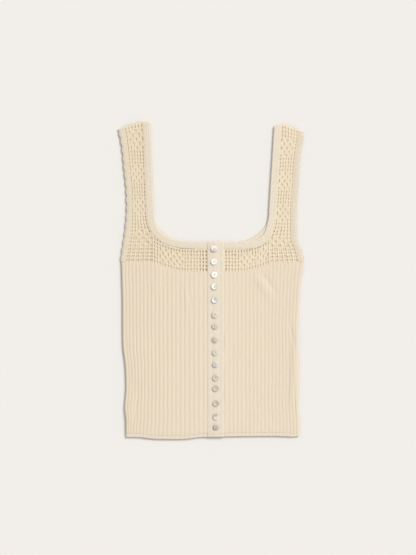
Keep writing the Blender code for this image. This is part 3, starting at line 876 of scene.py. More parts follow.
def yarn_profile(radius):
    """The cross-section of a stitch's two legs: two round yarns that lie side by side."""
    profile = bpy.data.curves.new("yarn_profile", "CURVE")
    spline = profile.splines.new("POLY")
    turns = np.radians(np.linspace(-LEG_WRAP, LEG_WRAP, LEG_SIDES))
    leg = np.column_stack([LEG_APART + np.cos(turns), LEG_FLAT * np.sin(turns)])
    ring = np.vstack([leg, -leg]) * radius * MM
    flat = np.tile([0.0, 1.0], (len(ring), 1))
    spline.points.add(len(ring) - 1)
    spline.points.foreach_set("co", np.hstack([ring, flat]).ravel())
    spline.use_cyclic_u = True
    return placed("yarn_profile", profile)


def yarn_mesh(runs, radius, legs=2):
    """Yarn along each run of points of the plan, which may hold a width for each point."""
    curve = bpy.data.curves.new("yarn", "CURVE")
    curve.dimensions = "3D"
    curve.twist_mode = "Z_UP"
    curve.use_fill_caps = True
    helpers = [placed("yarn", curve)]
    if legs == 2:
        helpers.append(yarn_profile(radius))
        curve.bevel_mode = "OBJECT"
        curve.bevel_object = helpers[1]
    else:
        curve.bevel_depth = radius * MM
        curve.bevel_resolution = 1
    for run in runs:
        spline = curve.splines.new("POLY")
        spline.points.add(len(run) - 1)
        run = np.asarray(run, float)
        points = (run[:, :3] + OFFSET) * MM
        spline.points.foreach_set("co", np.column_stack([points, np.ones(len(run))]).ravel())
        if run.shape[1] > 3:
            spline.points.foreach_set("radius", run[:, 3].copy())
    mesh = evaluated(helpers, bpy.data.curves)
    shape = bmesh.new()
    shape.from_mesh(mesh)
    bmesh.ops.remove_doubles(shape, verts=shape.verts, dist=0.001 * MM)
    bmesh.ops.recalc_face_normals(shape, faces=shape.faces)
    shape.to_mesh(mesh)
    shape.free()
    return mesh


def halved(stops):
    """The stops of the back's net, whose cells lie half a cell over from the front's."""
    return [stops[0]] + [(a + b) / 2 for a, b in zip(stops, stops[1:])] + [stops[-1]]


class Net:
    """A crochet net on a lattice of cells: chains across it, posts up it, blocks and eyelets."""

    def __init__(self, stops, levels, spot, middles, width, seed, back=False, tall=()):
        self.width, self.back, self.tall = width, int(back), tall
        if back:
            stops, levels = halved(stops), halved(levels)
        self.columns, self.rows = len(stops) - 1, len(levels) - 1
        self.dice = np.random.default_rng(seed)
        self.corners = np.array([[spot(stop, level) for stop in stops] for level in levels])
        within = self.rows - 1, self.columns - 1, 2
        self.corners[1:-1, 1:-1, :2] += self.dice.normal(0, UNEVEN, within)
        self.cells = {}
        for column, row in middles:
            for j, cells in enumerate(DIAMOND, start=row - 2):
                for i, cell in enumerate(cells, start=column - 2):
                    if cell != "-" and self.cells.get((i, j)) != "O":
                        self.cells[i, j] = cell
        if not back:
            self.cells.update({(column, 0): "o" for column in range(self.columns)})

    def area(self, inside=None):
        """The area of the cells, in square millimetres."""
        corners = self.corners[..., :2]
        one = corners[1:, 1:] - corners[:-1, :-1]
        other = corners[1:, :-1] - corners[:-1, 1:]
        areas = abs(one[..., 0] * other[..., 1] - one[..., 1] * other[..., 0]) / 2
        if inside is None:
            return float(areas.sum())
        middles = (corners[1:, 1:] + corners[:-1, :-1]) / 2
        return float(sum(a for a, m in zip(areas.ravel(), middles.reshape(-1, 2)) if inside(m)))

    def at(self, column, row):
        """Points of the lattice at fractions of its cells."""
        column, row = np.clip(column, 0, self.columns), np.clip(row, 0, self.rows)
        i = np.minimum(column.astype(int), self.columns - 1)
        j = np.minimum(row.astype(int), self.rows - 1)
        s, t = (column - i)[:, None], (row - j)[:, None]
        below = self.corners[j, i] * (1 - s) + self.corners[j, i + 1] * s
        above = self.corners[j + 1, i] * (1 - s) + self.corners[j + 1, i + 1] * s
        return below * (1 - t) + above * t

    def open_up(self, points):
        """Pushes the yarn away from the middle of each eyelet."""
        push = bpy.context.scene.top_crochet.eyelet_push / MM
        for (column, row), cell in self.cells.items():
            if cell == "X":
                continue
            middle = self.at(np.array([column + 0.5]), np.array([row + 0.5]))[0]
            away = points[:, :2] - middle[:2]
            distance = np.hypot(*away.T)
            near = (distance < EYELET_REACH) & (distance > 0.01)
            full = push * (1.0 if cell == "O" else SMALL_EYELET)
            strength = full * np.sin(np.pi * distance[near] / EYELET_REACH)
            points[near, :2] += away[near] * (strength / distance[near])[:, None]
        return points

    def strand(self, column, row, kind):
        """A chain or a post on a path of the lattice, thick at its knots and slimmer between."""
        path = self.open_up(self.at(column, row))
        knots = np.abs(np.cos(math.pi * (column + row)))
        uneven = self.dice.normal(0, STRAND_UNEVEN, len(path))
        path[:, 2] += kind.lift + KNOT_LIFT * (knots - 0.5)
        widths = kind.width * self.width * (BETWEEN_KNOTS + KNOT * knots**2 + uneven)
        return np.column_stack([path, widths])

    def runs(self, inside=None):
        """Every length of yarn of the net, cut off where inside says no."""
        found = []
        steps = bpy.context.scene.top_crochet.steps
        across = np.linspace(0, self.columns, self.columns * steps + 1)
        upward = np.linspace(0, self.rows, self.rows * steps + 1)
        for row in range(self.rows + 1):
            chain = self.strand(across, np.full(len(across), float(row)), CHAIN)
            ends = sorted(column * steps for column, above in self.tall if above == row)
            starts = [0] + [end + steps for end in ends]
            for start, end in zip(starts, ends + [len(chain)]):
                found.append(chain[start : end + 1])
        for column in range(self.back, self.columns + 1 - self.back):
            found.append(self.strand(np.full(len(upward), float(column)), upward, POST))
        for (column, row), cell in self.cells.items():
            if cell == "X" and column < self.columns and row < self.rows:
                tall = np.linspace(row + BLOCK_SHORT, row + 1 - BLOCK_SHORT, steps + 1)
                lean = column + 0.5 + np.linspace(-BLOCK_LEAN, BLOCK_LEAN, len(tall))
                found.append(self.strand(lean, tall, BLOCK_POST))
        if inside is None:
            return found
        kept = []
        for run in found:
            good = np.array([inside(point) for point in run])
            edges = np.flatnonzero(np.diff(np.concatenate([[0], good.astype(int), [0]])))
            stretches = zip(edges[::2], edges[1::2])
            kept += [run[start:end] for start, end in stretches if end - start > 2]
        return kept


# Pieces


def rib_profile(share):
    """A rib's rise, from one hollow (0) to the next (1)."""
    return max(0.0, math.sin(math.pi * share))


def rib_across(hand, stop, level):
    """How far across a rib of a front lies. The ribs crowd towards the side and lean with it."""
    inner = PLACKET_SIDE[hand] + hand * GAP / 2
    steady = outer(hand, STEADY_HEIGHT)
    crowding = RIB_CROWDING[hand]
    out = stop / RIBS[hand]
    across = inner + (steady - inner) * ((1 + crowding) * out - crowding * out * out)
    across += (outer(hand, level) - steady) * out**3
    flare = FLARE[hand] * (1 - ramp(level, HEM_EDGE, FLARE_TOP)) ** 2
    return across + flare * math.sin(math.pi * out**3)


def rib_stray(stop, level, side, seed):
    """How far a rib strays from its line, less near the side."""
    return RIB_STRAY * wander(stop * 3, level, RIB_STRAY_SIZE, seed) * min(1, side / 6)


def body_level(share):
    """The height at which the side's outline is read, by the share of the way up the body."""
    return HEM_EDGE + share * (BODY_TOP - HEM_EDGE)


def body_ends(across):
    """Where the ribbed knit starts above the hem and ends below the yoke."""
    return hem(across) + HEM_EDGE + GAP / 3, yoke_seam(across) - GAP / 3


def knit_front(hand):
    """One ribbed front."""
    rib_depth = bpy.context.scene.top_knit.rib_depth / MM
    full_inside, full_outside = RIB_FULLNESS[hand]

    def place(stop, share):
        out = stop / RIBS[hand]
        depth = rib_depth * (full_inside + out * (full_outside - full_inside))
        level = body_level(share)
        across = rib_across(hand, stop, level)
        side = abs(outer(hand, level) - across)
        across += rib_stray(stop, level, side, hand) * min(1, stop)
        low, high = body_ends(across)
        height = low + share * (high - low)
        lift = folds_at(FOLDS, across, height)
        fade = ramp(yoke_seam(across) - height, 0.0, FADE_YOKE)
        fade = FADED + (1 - FADED) * (fade * ramp(height - low, -0.5, FADE_HEM))
        filled = OPENING_FILL * (1 - min(1.0, stop / OPENING_REACH))
        full = max(rib_profile(stop % 1.0), filled)
        rise = depth * full * fade * (1 + 0.12 * wander(stop * 5, level, 40))
        top = FRONT + lift + CLOTH + RIB_STAND - depth + rise + folds_at(CREASES, across, height)
        top -= edge_fall(side, FRONT_ROUND) * 0.85
        under = FRONT + lift + edge_fall(side, FRONT_ROUND) * 0.35
        return Spot(across, height, under, top, stop * RIB_STITCHES, height, 1 - full)

    stops = [rib + step for rib in range(RIBS[hand]) for step in RIB_STEPS] + [RIBS[hand]]
    rows = spread(0.0, 1.0, BODY_ROWS)
    cloth("ribbed", on_side("front", hand), stops, rows, place)


def knit_back():
    """The ribbed back. It rests on the ribs of its underside."""
    depth = bpy.context.scene.top_knit.rib_depth / MM * BACK_RIB_DEPTH

    def place(stop, share):
        between = 1 - rib_profile(stop % 1.0)
        level = body_level(share)
        left, right = outer(LEFT, level), outer(RIGHT, level)
        across = left + (right - left) * stop / BACK_RIBS
        side = min(across - left, right - across)
        across += rib_stray(stop, level, side, 7)
        low, high = body_ends(across)
        height = low + share * (high - low)
        fall = edge_fall(side, BACK_ROUND) * 0.5
        dent = max(0.0, folds_at(BACK_CREASES, across, height))
        under = min(depth * between * 0.9 + dent + fall, BACK_HOLLOW)
        return Spot(across, height, under, CLOTH - fall, stop * RIB_STITCHES, height, between)

    stops = [rib + step for rib in range(BACK_RIBS) for step in BACK_RIB_STEPS] + [BACK_RIBS]
    cloth("ribbed", "_back", stops, spread(0.0, 1.0, BODY_ROWS // 2), place)


def strap_levels(layer):
    """The rows of a strap's net, by their heights on its even lattice."""
    last = SHOULDER_HEIGHT if layer == "front" else SHOULDER_HEIGHT - BACK_SHORT
    rows = [UNDERARM + row * ROW_PITCH for row in range(STRAP_ROWS + 1)]
    return [row for row in rows if row < last - ROWS_STOP] + [last - LAST_ROW]


def strap_lie(layer, share, height):
    """How high a strap's yarn lies. The front meets the neck band and turns at the shoulder."""
    back = NET_LIE["back"] + STRAP_LIFT * ramp(height, UNDERARM, STRAP_LEVEL)
    if layer == "back":
        return back
    turn = ramp(height, SHOULDER_HEIGHT - NET_TURN, SHOULDER_HEIGHT - 0.5)
    rise = NET_LIE["front"] - back + NECK_LIFT * eased(ramp(share, NECK_SHARE, 1.0))
    return back + rise * math.sqrt(1 - 0.97 * turn * turn)


def crocheted(kind, where, net, length, inside=None):
    """Makes the lengths of yarn of a net one piece. Its area and length are worked out, and nothing
    is done with them.
    """
    radius = bpy.context.scene.top_crochet.yarn_radius / MM
    piece = finished(kind, where, yarn_mesh(net.runs(inside), radius))
    area = net.area(inside)
    area / length * MM
    length * MM


def crochet_strap(half, layer):
    """One half of a strap: a net with diamonds of eyelets down it."""
    back = layer == "back"
    middles = [(STRAP_COLUMNS - 3, row + back) for row in STRAP_DIAMONDS[half.hand]]

    def spot(share, height):
        across, up = half.strap_spot(share, height)
        return across, up, strap_lie(layer, share, height)

    seed = 11 + half.hand + 4 * back
    stops, levels = spread(0, 1, STRAP_COLUMNS), strap_levels(layer)
    net = Net(stops, levels, spot, middles, STRAP_WIDTH[layer], seed, back)
    rests_on = "floor" if back else "strap_net" + on_side("back", half.hand)
    length = SHOULDER_HEIGHT - UNDERARM
    crocheted("strap_net", on_side(layer, half.hand), net, length)


def yoke_columns(hand):
    """How far across the diamonds' columns lie, from the strap's foot inwards."""
    foot, count = STRAP_FOOT[hand], YOKE_COLUMNS[hand]
    return spread(foot, foot - hand * count * YOKE_COLUMN[hand], count)


def opening_columns(hand):
    """How far across the columns lie from there to the front opening."""
    return spread(yoke_columns(hand)[-1], PLACKET_SIDE[hand] + hand * 0.2, EVEN_COLUMNS)[1:]


def crochet_yoke(where, halves, stops, middles, tall=()):
    """A stretch of the yoke. Its rows follow the seam, and the neck band covers their top."""

    def half_at(across):
        return halves.get(LEFT if across < MIDDLE else RIGHT) or next(iter(halves.values()))

    def spot(across, row):
        half = half_at(across)
        height = yoke_seam(across) + GAP / 2 + row * ROW_PITCH
        at_foot = half.settle(half.foot, UNDERARM + row * ROW_PITCH)
        jog = at_foot - (yoke_seam(half.foot) + GAP / 2 + row * ROW_PITCH)
        height += jog * ramp(abs(across), YOKE_LEVEL, abs(half.foot))
        if back:
            return across, height, NET_LIE["back"]
        aside, below = abs(across - PLACKET_LEFT), half.yoke_top(across) - height
        by_placket = PLACKET_LIFT * eased(1 - ramp(aside, 0, PLACKET_REACH))
        by_neck = NECK_LIFT * eased(1 - ramp(below, 0, NECK_REACH))
        return across, height, NET_LIE["front"] + max(by_placket, by_neck)

    def inside(point):
        x, y = point[:2]
        return y < half_at(x).yoke_top(x) + YOKE_UNDER_BAND

    back = len(halves) > 1
    width = YOKE_WIDTH["back" if back else "front"]
    net = Net(stops, range(YOKE_ROWS + 2), spot, middles, width, 31 + len(stops), back, tall)
    crocheted("yoke_net", where, net, abs(stops[-1] - stops[0]), inside)


def neck_stops(line, turned):
    """The distances along a neck edge at which its band has a row."""
    start = [turn.distance for turn in SHOULDER_TURN][::-1] if turned else [BACK_SHORT]
    return start + spread(start[-1] + 2.5, line.length, int(line.length / NECK_ROW))


def neck_spot(half, distance, aside):
    """A point of the neck band. Its end follows the slope of the shoulder."""
    x, y = half.neck.offset(distance, aside, half.hand)
    start = half.neck.at(0.0)
    slope = shoulder(half.hand, x) - shoulder(half.hand, start[0])
    return x, y + slope * ramp(y, start[1] - NECK_SLANT, start[1])


# How deep a point lies in a rib's hollow, which sets its painted shade
def rib_hollow_shade(rise):
    return ramp(0.4 - rise, 0.0, 0.6)


def band_front(half):
    """The front half of the neck band, from the shoulder to the opening."""
    turns = {turn.distance: turn for turn in SHOULDER_TURN}

    def place(rib, distance):
        x, y = neck_spot(half, distance, rib.distance)
        turn = turns.get(distance, Turn(0, FRONT, 1.0))
        rise = rib.rise + 0.12 * wander(x, y, 9) + folds_at(BAND_CREASES, x, y)
        top = FRONT + (CLOTH + rise) * turn.share
        low = turn.underside + (0.5 if rib.distance == 0 else 0.0)
        return Spot(x, y, low, top, rib.distance, distance, rib_hollow_shade(rib.rise))

    where, stops = on_side("front", half.hand), neck_stops(half.neck, True)
    cut = NECK_BAND, half.neck.length
    cloth("neck_banding", where, NECK_RIBS, stops, place, cut)


def band_back():
    """The back of the neck band, from shoulder to shoulder."""
    halves = BACKS.values()
    left, right = ([(half, stop) for stop in neck_stops(half.neck, False)] for half in halves)
    whole = sum(half.neck.length for half in halves)

    def place(rib, stop):
        half, distance = stop
        x, y = neck_spot(half, distance, rib.distance)
        run = distance if half.hand == LEFT else whole - distance
        low = max(0.0, 0.3 - rib.rise * 0.6)
        top = CLOTH + min(0.0, rib.rise)
        return Spot(x, y, low, top, rib.distance, run, rib_hollow_shade(rib.rise))

    stops = left + right[-2::-1]
    cloth("neck_banding", "_back", NECK_RIBS, stops, place, (NECK_BAND, whole))


def armhole_edging(half, layer):
    """The scalloped edging of one armhole: a small fan of stitches to each scallop."""
    front = layer == "front"
    turns = {SHOULDER_HEIGHT - turn.distance: turn for turn in SHOULDER_TURN} if front else {}
    last = SHOULDER_HEIGHT - (EDGING_SHORT if front else BACK_SHORT)
    step = SCALLOP_PITCH / SCALLOP_ROWS
    levels = [level for level in np.arange(UNDERARM, SHOULDER_HEIGHT, step) if level < last]
    levels += sorted(turns) if front else [last]

    def place(share, level):
        phase = (level - UNDERARM) / SCALLOP_PITCH
        scallop = abs(math.sin(math.pi * phase)) - 0.6
        edge = outer(half.hand, level) + half.hand * SCALLOP * scallop
        inner = outer(half.hand, level) - half.hand * ARMHOLE_EDGE
        across = edge + share * (inner - edge)
        turn = turns.get(level, Turn(0, half.underside, 1.0))
        fan = abs(math.sin(SCALLOP_FANS * math.pi * phase)) ** 0.7
        depth = 0.5 * (1 - share * 0.7)
        fall = edge_fall(share * ARMHOLE_EDGE, 1.3) * 0.8
        relief = -0.1 - depth * (1 - fan) - 0.6 * (1 - share) - 0.8 * ramp(share, 0.5, 1.0)
        height = half.settle(across, level)
        if front:
            top = half.underside + (CLOTH + relief) * turn.share - fall * turn.share
            low = turn.underside + fall * 0.5 * turn.share
        else:
            top = CLOTH - fall
            low = max(0.0, -relief * 0.6) + fall * 0.4
        # Painted shade between the fans of a scallop, through the hollow share
        return Spot(across, height, low, top, share * ARMHOLE_EDGE, level, (1 - fan) * 0.8)

    where, cut = on_side(layer, half.hand), (ARMHOLE_EDGE, EDGING_LENGTH)
    rests_on = "armhole_edging" + on_side("back", half.hand) if front else "floor"
    cloth("armhole_edging", where, EDGING_SHARES, levels, place, cut)


def hem_band(where, start, end, rests_on):
    """The flat edge along the hem, with a groove along its middle and a hint of the ribs."""
    front = rests_on != "floor"
    underside = FRONT if front else 0.0
    stops_of = {hand: range(RIBS[hand] + 1) for hand in (LEFT, RIGHT)}
    ribs = {hand: [abs(rib_across(hand, rib, 0)) for rib in stops_of[hand]] for hand in stops_of}

    def place(across, rib):
        hand = LEFT if across < PLACKET_LEFT else RIGHT
        stop = np.interp(abs(across), ribs[hand], stops_of[hand])
        between = 1 - rib_profile(stop % 1.0)
        rise = rib.rise + 0.1 * wander(across, rib.distance, 7) - 0.28 * between
        side = min(abs(across - outer(LEFT, 0)), abs(across - outer(RIGHT, 0)))
        fall = edge_fall(side, 2.0) * 0.7
        low = underside + (0.0 if front else max(0.0, 0.3 - rib.rise * 0.7)) + fall * 0.4
        top = max(low + 0.2, underside + CLOTH + (rise if front else min(0.0, rib.rise)) - fall)
        height = hem(across) + rib.distance + 0.4 * between * (1 - ramp(rib.distance, 0, 2))
        return Spot(across, height, low, top, rib.distance, across, rib_hollow_shade(rise))

    count = round((end - start) / HEM_STEP["front" if front else "back"])
    stops = [start, start + 0.4, start + 1.2] + spread(start + 2.4, end - 2.4, count)
    stops += [end - 1.2, end - 0.4, end]
    cloth("hem_banding", where, stops, HEM_RIBS, place, (end - start, HEM_EDGE))


def placket_height(across, level):
    return level + hem(across) * (1 - level / NECK_TOP)


def button_across(height):
    down = (BUTTON_HEIGHTS[0] - height) / (BUTTON_HEIGHTS[0] - BUTTON_HEIGHTS[-1])
    return BUTTON_TOP_X + down * (BUTTON_BOTTOM_X - BUTTON_TOP_X)


def buttonhole_band():
    """The band on top, with its raised strips and the grooves of its hem."""
    levels = [*PLACKET_FOOT, HEM_GROOVE - GROOVE, HEM_GROOVE, HEM_GROOVE + GROOVE, 5.4]
    levels += [HEM_EDGE, HEM_EDGE + SEAM] + spread(9.0, NECK_TOP - 1.6, PLACKET_ROWS)
    levels += [NECK_TOP - 0.9, NECK_TOP - 0.3, NECK_TOP]

    def place(strip, level):
        across = PLACKET_LEFT - 0.1 + strip.distance
        height = placket_height(across, level)
        rise = strip.rise + 0.14 * wander(across, height, 12, 3)
        rise -= GROOVE_DEPTH * max(0.0, 1 - abs(level - HEM_GROOVE) / GROOVE)
        rise -= SEAM_DEPTH * max(0.0, 1 - abs(level - HEM_EDGE) / SEAM)
        rise -= edge_fall(level, 1.0) * 0.8 + edge_fall(NECK_TOP - level, 1.0) * 0.8
        low = FRONT + (LAP - FRONT) * ramp(strip.distance, 0.0, 3.0) ** 0.6
        climb = eased(ramp(strip.distance, 0.0, CLIMB))
        start = CLIMB_START + folds_at(FOLDS, PLACKET_LEFT, height)
        top = FRONT + CLOTH + start + (LAP - FRONT - start) * climb + rise
        across += 0.35 * wander(height, 0, 30, 5) * ramp(strip.distance, 20, 28)
        return Spot(across, height, low, top, strip.distance, height, rib_hollow_shade(rise + 0.4))

    cloth("buttonhole_banding", "", PLACKET_STRIPS, levels, place)


def button_band():
    """The band underneath, of which only an edge shows."""
    stops = spread(PLACKET_LEFT + UNDERLAP, PLACKET_RIGHT - 1.5, BUTTON_BAND_COLUMNS)
    stops += [PLACKET_RIGHT - 0.6, PLACKET_RIGHT]

    def place(across, level):
        height = placket_height(across, level)
        top = FRONT + CLOTH - 0.05 - 0.12 * abs(wander(across, height, 9, 4))
        # A fixed share of painted shade over the whole band, as it lies under the lap
        return Spot(across, height, FRONT, top, across, height, 0.3)

    levels = spread(0.0, NECK_TOP, BUTTON_BAND_ROWS)
    cloth("button_banding", "", stops, levels, place)


def shell_mesh():
    """A dished shell button before its holes are drilled, its outline spun round the middle."""
    radius = bpy.context.scene.top_buttons.radius / MM
    rim = [(radius - inset, height) for inset, height in SHELL_RIM]
    shape = bmesh.new()
    corners = [shape.verts.new((x, 0, z)) for x, z in [(0.0, 0.0), *rim, (0.0, SHELL_DISH)]]
    edges = [shape.edges.new(pair) for pair in zip(corners, corners[1:])]
    around = {"axis": (0, 0, 1), "cent": (0, 0, 0), "angle": math.tau, "steps": SHELL_STEPS}
    bmesh.ops.spin(shape, geom=corners + edges, use_merge=True, **around)
    bmesh.ops.remove_doubles(shape, verts=shape.verts, dist=0.001)
    bmesh.ops.recalc_face_normals(shape, faces=shape.faces)
    return new_mesh("shell", shape)


def holes_mesh():
    """The two rods that open a button's holes."""
    shape = bmesh.new()
    round_rod = {"segments": 16, "radius1": HOLE_RADIUS, "radius2": HOLE_RADIUS, "depth": 6}
    for side in (-1, 1):
        rod = bmesh.ops.create_cone(shape, cap_ends=True, **round_rod)
        bmesh.ops.translate(shape, vec=(0, side * HOLE_APART, 1), verts=rod["verts"])
    return new_mesh("button_holes", shape)


def drilled_shell():
    """The button with its holes cut, in millimetres round its own middle."""
    button = placed("shell", shell_mesh())
    rods = placed("button_holes", holes_mesh())
    cut = button.modifiers.new("Holes", "BOOLEAN")
    cut.operation = "DIFFERENCE"
    cut.solver = "EXACT"
    cut.object = rods
    return evaluated([button, rods], bpy.data.meshes)


def sew_buttons():
    """The shell buttons, each with its own tilt, turn and shade, and their thread."""
    drilled = drilled_shell()
    thread = []
    seat = LAP + CLOTH + GAP
    for number, (height, shell) in enumerate(zip(BUTTON_HEIGHTS, SHELLS), start=1):
        middle = (button_across(height), height, seat)
        bearing = math.radians(shell.away)
        away = Vector((math.cos(bearing), math.sin(bearing), 0))
        tilt = Matrix.Rotation(math.radians(shell.tilt), 4, Vector((-away.y, away.x, 0)))
        turn = Matrix.Rotation(math.radians(shell.away % 40 - 20), 4, "Z")
        mesh = drilled.copy()
        lift = math.sin(math.radians(shell.tilt)) * SHELL_FOOT
        seated = Matrix.Translation((0, 0, lift)) @ tilt @ turn
        mesh.transform(seated)
        dark = [ramp(vertex.co.dot(away), DARK_FROM, DARK_TO) for vertex in mesh.vertices]
        mesh.transform(Matrix.Scale(MM, 4))
        mesh.transform(Matrix.Translation(to_row(middle)))
        same = [1.0] * len(dark)
        for key, values in (("pearl", same), ("cool", same), ("dark", dark)):
            values = np.array(values, np.float32) * getattr(shell, key)
            mesh.attributes.new(key, "FLOAT", "POINT").data.foreach_set("value", values)
        finished("shell_button", f"_{number:02d}", mesh)
        for aside in (-THREAD_APART, THREAD_APART):
            arc = []
            for step in spread(-HOLE_APART, HOLE_APART, 8):
                rise = THREAD_ARCH * math.sqrt(max(0.0, 1 - (step / THREAD_REACH) ** 2))
                spot = seated @ Vector((aside, step, THREAD_LEVEL + rise))
                arc.append((spot.x + middle[0], spot.y + middle[1], spot.z + seat))
            ends = [(x, y, seat - THREAD_DEPTH) for x, y, _ in (arc[0], arc[-1])]
            thread.append([ends[0], *arc, ends[1]])
    bpy.data.meshes.remove(drilled)
    finished("button_thread", "", yarn_mesh(thread, THREAD, 1))


# Settings


def colour_setting(name, description, default):
    return bpy.props.FloatVectorProperty(
        name=name, description=description, default=default, subtype="COLOR", size=3, min=0, max=1
    )


def length_setting(name, description, default, low, high):
    return bpy.props.FloatProperty(
        name=name,
        description=description,
        default=default * MM,
        min=low * MM,
        max=high * MM,
        subtype="DISTANCE",
        unit="LENGTH",
        precision=5,
    )


def strength_setting(name, description, default):
    return bpy.props.FloatProperty(name=name, description=description, default=default, min=0)


class TopColours(bpy.types.PropertyGroup):
    knit: colour_setting("Knit", "Crests of the ribbed knit", (0.762, 0.664, 0.530))
    knit_hollow_shade: colour_setting("Knit hollows", "Hollows between the ribs", (0.745, 0.635, 0.490))
    # Painted shade: the tones that the hollows of the knit and the grooves of the bands darken to
    band: colour_setting("Bands", "Neck band, placket and hem", (0.783, 0.702, 0.572))
    band_hollow_shade: colour_setting("Band hollows", "Grooves of the bands", (0.742, 0.650, 0.520))
    edging: colour_setting("Edging", "Scalloped edging of the armholes", (0.752, 0.660, 0.522))
    yarn: colour_setting("Crochet", "Yarn of the net", (0.824, 0.708, 0.532))
    # The yarn's darker stretches, also the base of its painted shade between the plies and towards
    # the left
    yarn_deep: colour_setting("Crochet shade", "Its darker stretches", (0.800, 0.674, 0.492))
    pearl: colour_setting("Pearl", "The brightest shells", (0.92, 0.90, 0.86))
    shell: colour_setting("Shell", "The plainest shells", (0.60, 0.52, 0.40))
    table: colour_setting("Table", "The surface that the top lies on", (0.735, 0.714, 0.687))


class TopKnit(bpy.types.PropertyGroup):
    rib_depth: length_setting("Rib depth", "From a rib's crest to its hollow", 0.56, 0.3, 2.0)


class TopCrochet(bpy.types.PropertyGroup):
    yarn_radius: length_setting("Yarn radius", "Half the thickness of one yarn", 0.65, 0.2, 0.8)
    eyelet_push: length_setting("Eyelet", "How far an eyelet spreads the net", 0.45, 0.0, 1.2)
    steps: bpy.props.IntProperty(
        name="Steps", description="Bends of a yarn across one cell", default=4, min=3, max=10
    )


class TopButtons(bpy.types.PropertyGroup):
    radius: length_setting("Button radius", "Half a button's width", BUTTON_RADIUS, 4, 8)


class TopStudio(bpy.types.PropertyGroup):
    key: strength_setting("Key light", "Strength of the lamp from the upper right", 2.4)
    fill: strength_setting("Fill light", "Strength of the light from all round", 0.68)
    lamp_angle: bpy.props.FloatProperty(
        name="Lamp width",
        description="How wide the lamp looks from the top, which softens its shadows",
        default=math.radians(24),
        subtype="ANGLE",
        unit="ROTATION",
    )


# Operators


class KnitFronts(bpy.types.Operator):
    """Knit the two ribbed fronts"""

    bl_idname = "top.knit_fronts"
    bl_label = "Ribbed Fronts"

    def execute(self, context):
        for hand in (LEFT, RIGHT):
            knit_front(hand)
        return {"FINISHED"}


class KnitBack(bpy.types.Operator):
    """Knit the ribbed back"""

    bl_idname = "top.knit_back"
    bl_label = "Ribbed Back"

    def execute(self, context):
        knit_back()
        return {"FINISHED"}


class CrochetStraps(bpy.types.Operator):
    """Crochet the front and back halves of both straps"""

    bl_idname = "top.crochet_straps"
    bl_label = "Crochet Straps"

    def execute(self, context):
        for hand in (LEFT, RIGHT):
            crochet_strap(FRONTS[hand], "front")
            crochet_strap(BACKS[hand], "back")
        return {"FINISHED"}


class CrochetYokes(bpy.types.Operator):
    """Crochet the two front yokes and the back one"""

    bl_idname = "top.crochet_yokes"
    bl_label = "Crochet Yokes"

    def execute(self, context):
        for hand, half in FRONTS.items():
            stops = yoke_columns(hand) + opening_columns(hand)
            middles = [(column, 2) for column in YOKE_DIAMONDS[hand]]
            where, tall = on_side("front", hand), TALL_EYELETS[hand]
            crochet_yoke(where, {hand: half}, stops, middles, tall)
        left, right = yoke_columns(LEFT), yoke_columns(RIGHT)
        stops = left + spread(left[-1], right[-1], BACK_EVEN_COLUMNS)[1:-1] + right[::-1]
        last = len(stops) - 2
        middles = [(column + 1, 3) for column in YOKE_DIAMONDS[LEFT]]
        middles += [(last - column, 3) for column in YOKE_DIAMONDS[RIGHT]]
        crochet_yoke("_back", BACKS, stops, middles)
        return {"FINISHED"}


class KnitNeckBands(bpy.types.Operator):
    """Knit the band round the neck"""

    bl_idname = "top.knit_neck_bands"
    bl_label = "Neck Bands"

    def execute(self, context):
        for half in FRONTS.values():
            band_front(half)
        band_back()
        return {"FINISHED"}


class CrochetArmholes(bpy.types.Operator):
    """Crochet the scalloped edging of the armholes"""

    bl_idname = "top.crochet_armholes"
    bl_label = "Armhole Edging"

    def execute(self, context):
        for hand in (LEFT, RIGHT):
            armhole_edging(FRONTS[hand], "front")
            armhole_edging(BACKS[hand], "back")
        return {"FINISHED"}


class KnitHem(bpy.types.Operator):
    """Knit the flat edge along the hem"""

    bl_idname = "top.knit_hem"
    bl_label = "Hem Edge"

    def execute(self, context):
        left, right = outer(LEFT, 0), outer(RIGHT, 0)
        hem_band("_back", left, right, "floor")
        hem_band("_front_left", left, PLACKET_LEFT - 0.1, "hem_banding_back")
        hem_band("_front_right", PLACKET_RIGHT + 0.1, right, "hem_banding_back")
        return {"FINISHED"}


class KnitPlacket(bpy.types.Operator):
    """Knit the button band and the buttonhole band over it"""

    bl_idname = "top.knit_placket"
    bl_label = "Placket"

    def execute(self, context):
        button_band()
        buttonhole_band()
        return {"FINISHED"}


class SewButtons(bpy.types.Operator):
    """Sew on the shell buttons"""

    bl_idname = "top.sew_buttons"
    bl_label = "Shell Buttons"

    def execute(self, context):
        sew_buttons()
        return {"FINISHED"}


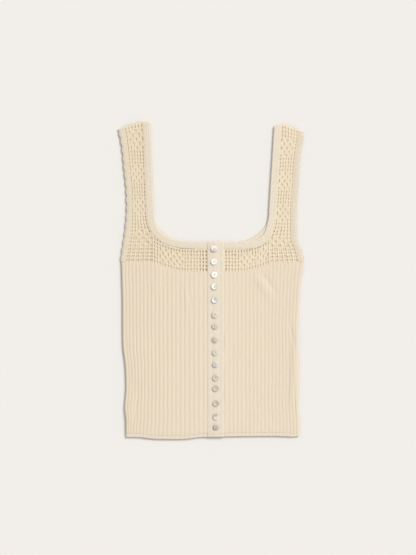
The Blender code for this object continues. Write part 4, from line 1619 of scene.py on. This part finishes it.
class SetStage(bpy.types.Operator):
    """Set the table, the lamp and the camera overhead"""

    bl_idname = "top.set_stage"
    bl_label = "Stage"

    def execute(self, context):
        studio = context.scene.top_studio
        shape = bmesh.new()
        bmesh.ops.create_grid(shape, x_segments=8, y_segments=8, size=TABLE_REACH)
        mesh = new_mesh("floor", shape)
        mesh.transform(Matrix.Translation((0, 0, -TABLE_DROP)))
        mesh.materials.append(look("pale_table"))
        floor = placed("floor", mesh)

        lamp = bpy.data.lights.new("window_lamp", "SUN")
        lamp.energy = studio.key
        lamp.angle = studio.lamp_angle
        lamp.color = LAMP_COLOUR
        holder = placed("window_lamp", lamp)
        holder.rotation_euler = Vector(LAMP_FROM).to_track_quat("Z", "Y").to_euler()

        world = bpy.data.worlds.new("studio")
        world.use_nodes = True
        light = world.node_tree.nodes["Background"].inputs
        light["Color"].default_value = (1.0, 1.0, 1.0, 1)
        light["Strength"].default_value = studio.fill
        context.scene.world = world
        context.scene.view_settings.view_transform = "Standard"

        eye = bpy.data.cameras.new("overhead")
        eye.sensor_width = 36
        eye.lens = eye.sensor_width * VIEW_DISTANCE / VIEW_HEIGHT
        eye.clip_end = 20
        camera = placed("overhead", eye)
        camera.location = to_row((*VIEW_MIDDLE, VIEW_DISTANCE / MM))
        context.scene.camera = camera
        return {"FINISHED"}


class TOP_PT_make(bpy.types.Panel):
    """The settings of the top, and a button for each step"""

    bl_label = "Ribbed Top"
    bl_space_type = "VIEW_3D"
    bl_region_type = "UI"
    bl_category = "Top"

    def draw(self, context):
        for group in SETTINGS:
            settings = getattr(context.scene, group)
            for name in settings.bl_rna.properties.keys():
                if name not in ("rna_type", "name"):
                    self.layout.prop(settings, name)
        for operator in OPERATORS:
            self.layout.operator(operator.bl_idname)


SETTINGS = {
    "top_colours": TopColours,
    "top_knit": TopKnit,
    "top_crochet": TopCrochet,
    "top_buttons": TopButtons,
    "top_studio": TopStudio,
}
OPERATORS = (
    SetStage,
    KnitBack,
    KnitFronts,
    CrochetStraps,
    CrochetYokes,
    KnitNeckBands,
    CrochetArmholes,
    KnitHem,
    KnitPlacket,
    SewButtons,
)


def register():
    for group in (*SETTINGS.values(), *OPERATORS, TOP_PT_make):
        bpy.utils.register_class(group)
    for name, group in SETTINGS.items():
        setattr(bpy.types.Scene, name, bpy.props.PointerProperty(type=group))


def unregister():
    for name in SETTINGS:
        delattr(bpy.types.Scene, name)
    for group in (TOP_PT_make, *OPERATORS[::-1], *list(SETTINGS.values())[::-1]):
        bpy.utils.unregister_class(group)


def main():
    register()
    for operator in OPERATORS:
        group, name = operator.bl_idname.split(".")
        getattr(getattr(bpy.ops, group), name)()


if __name__ == "__main__":
    main()
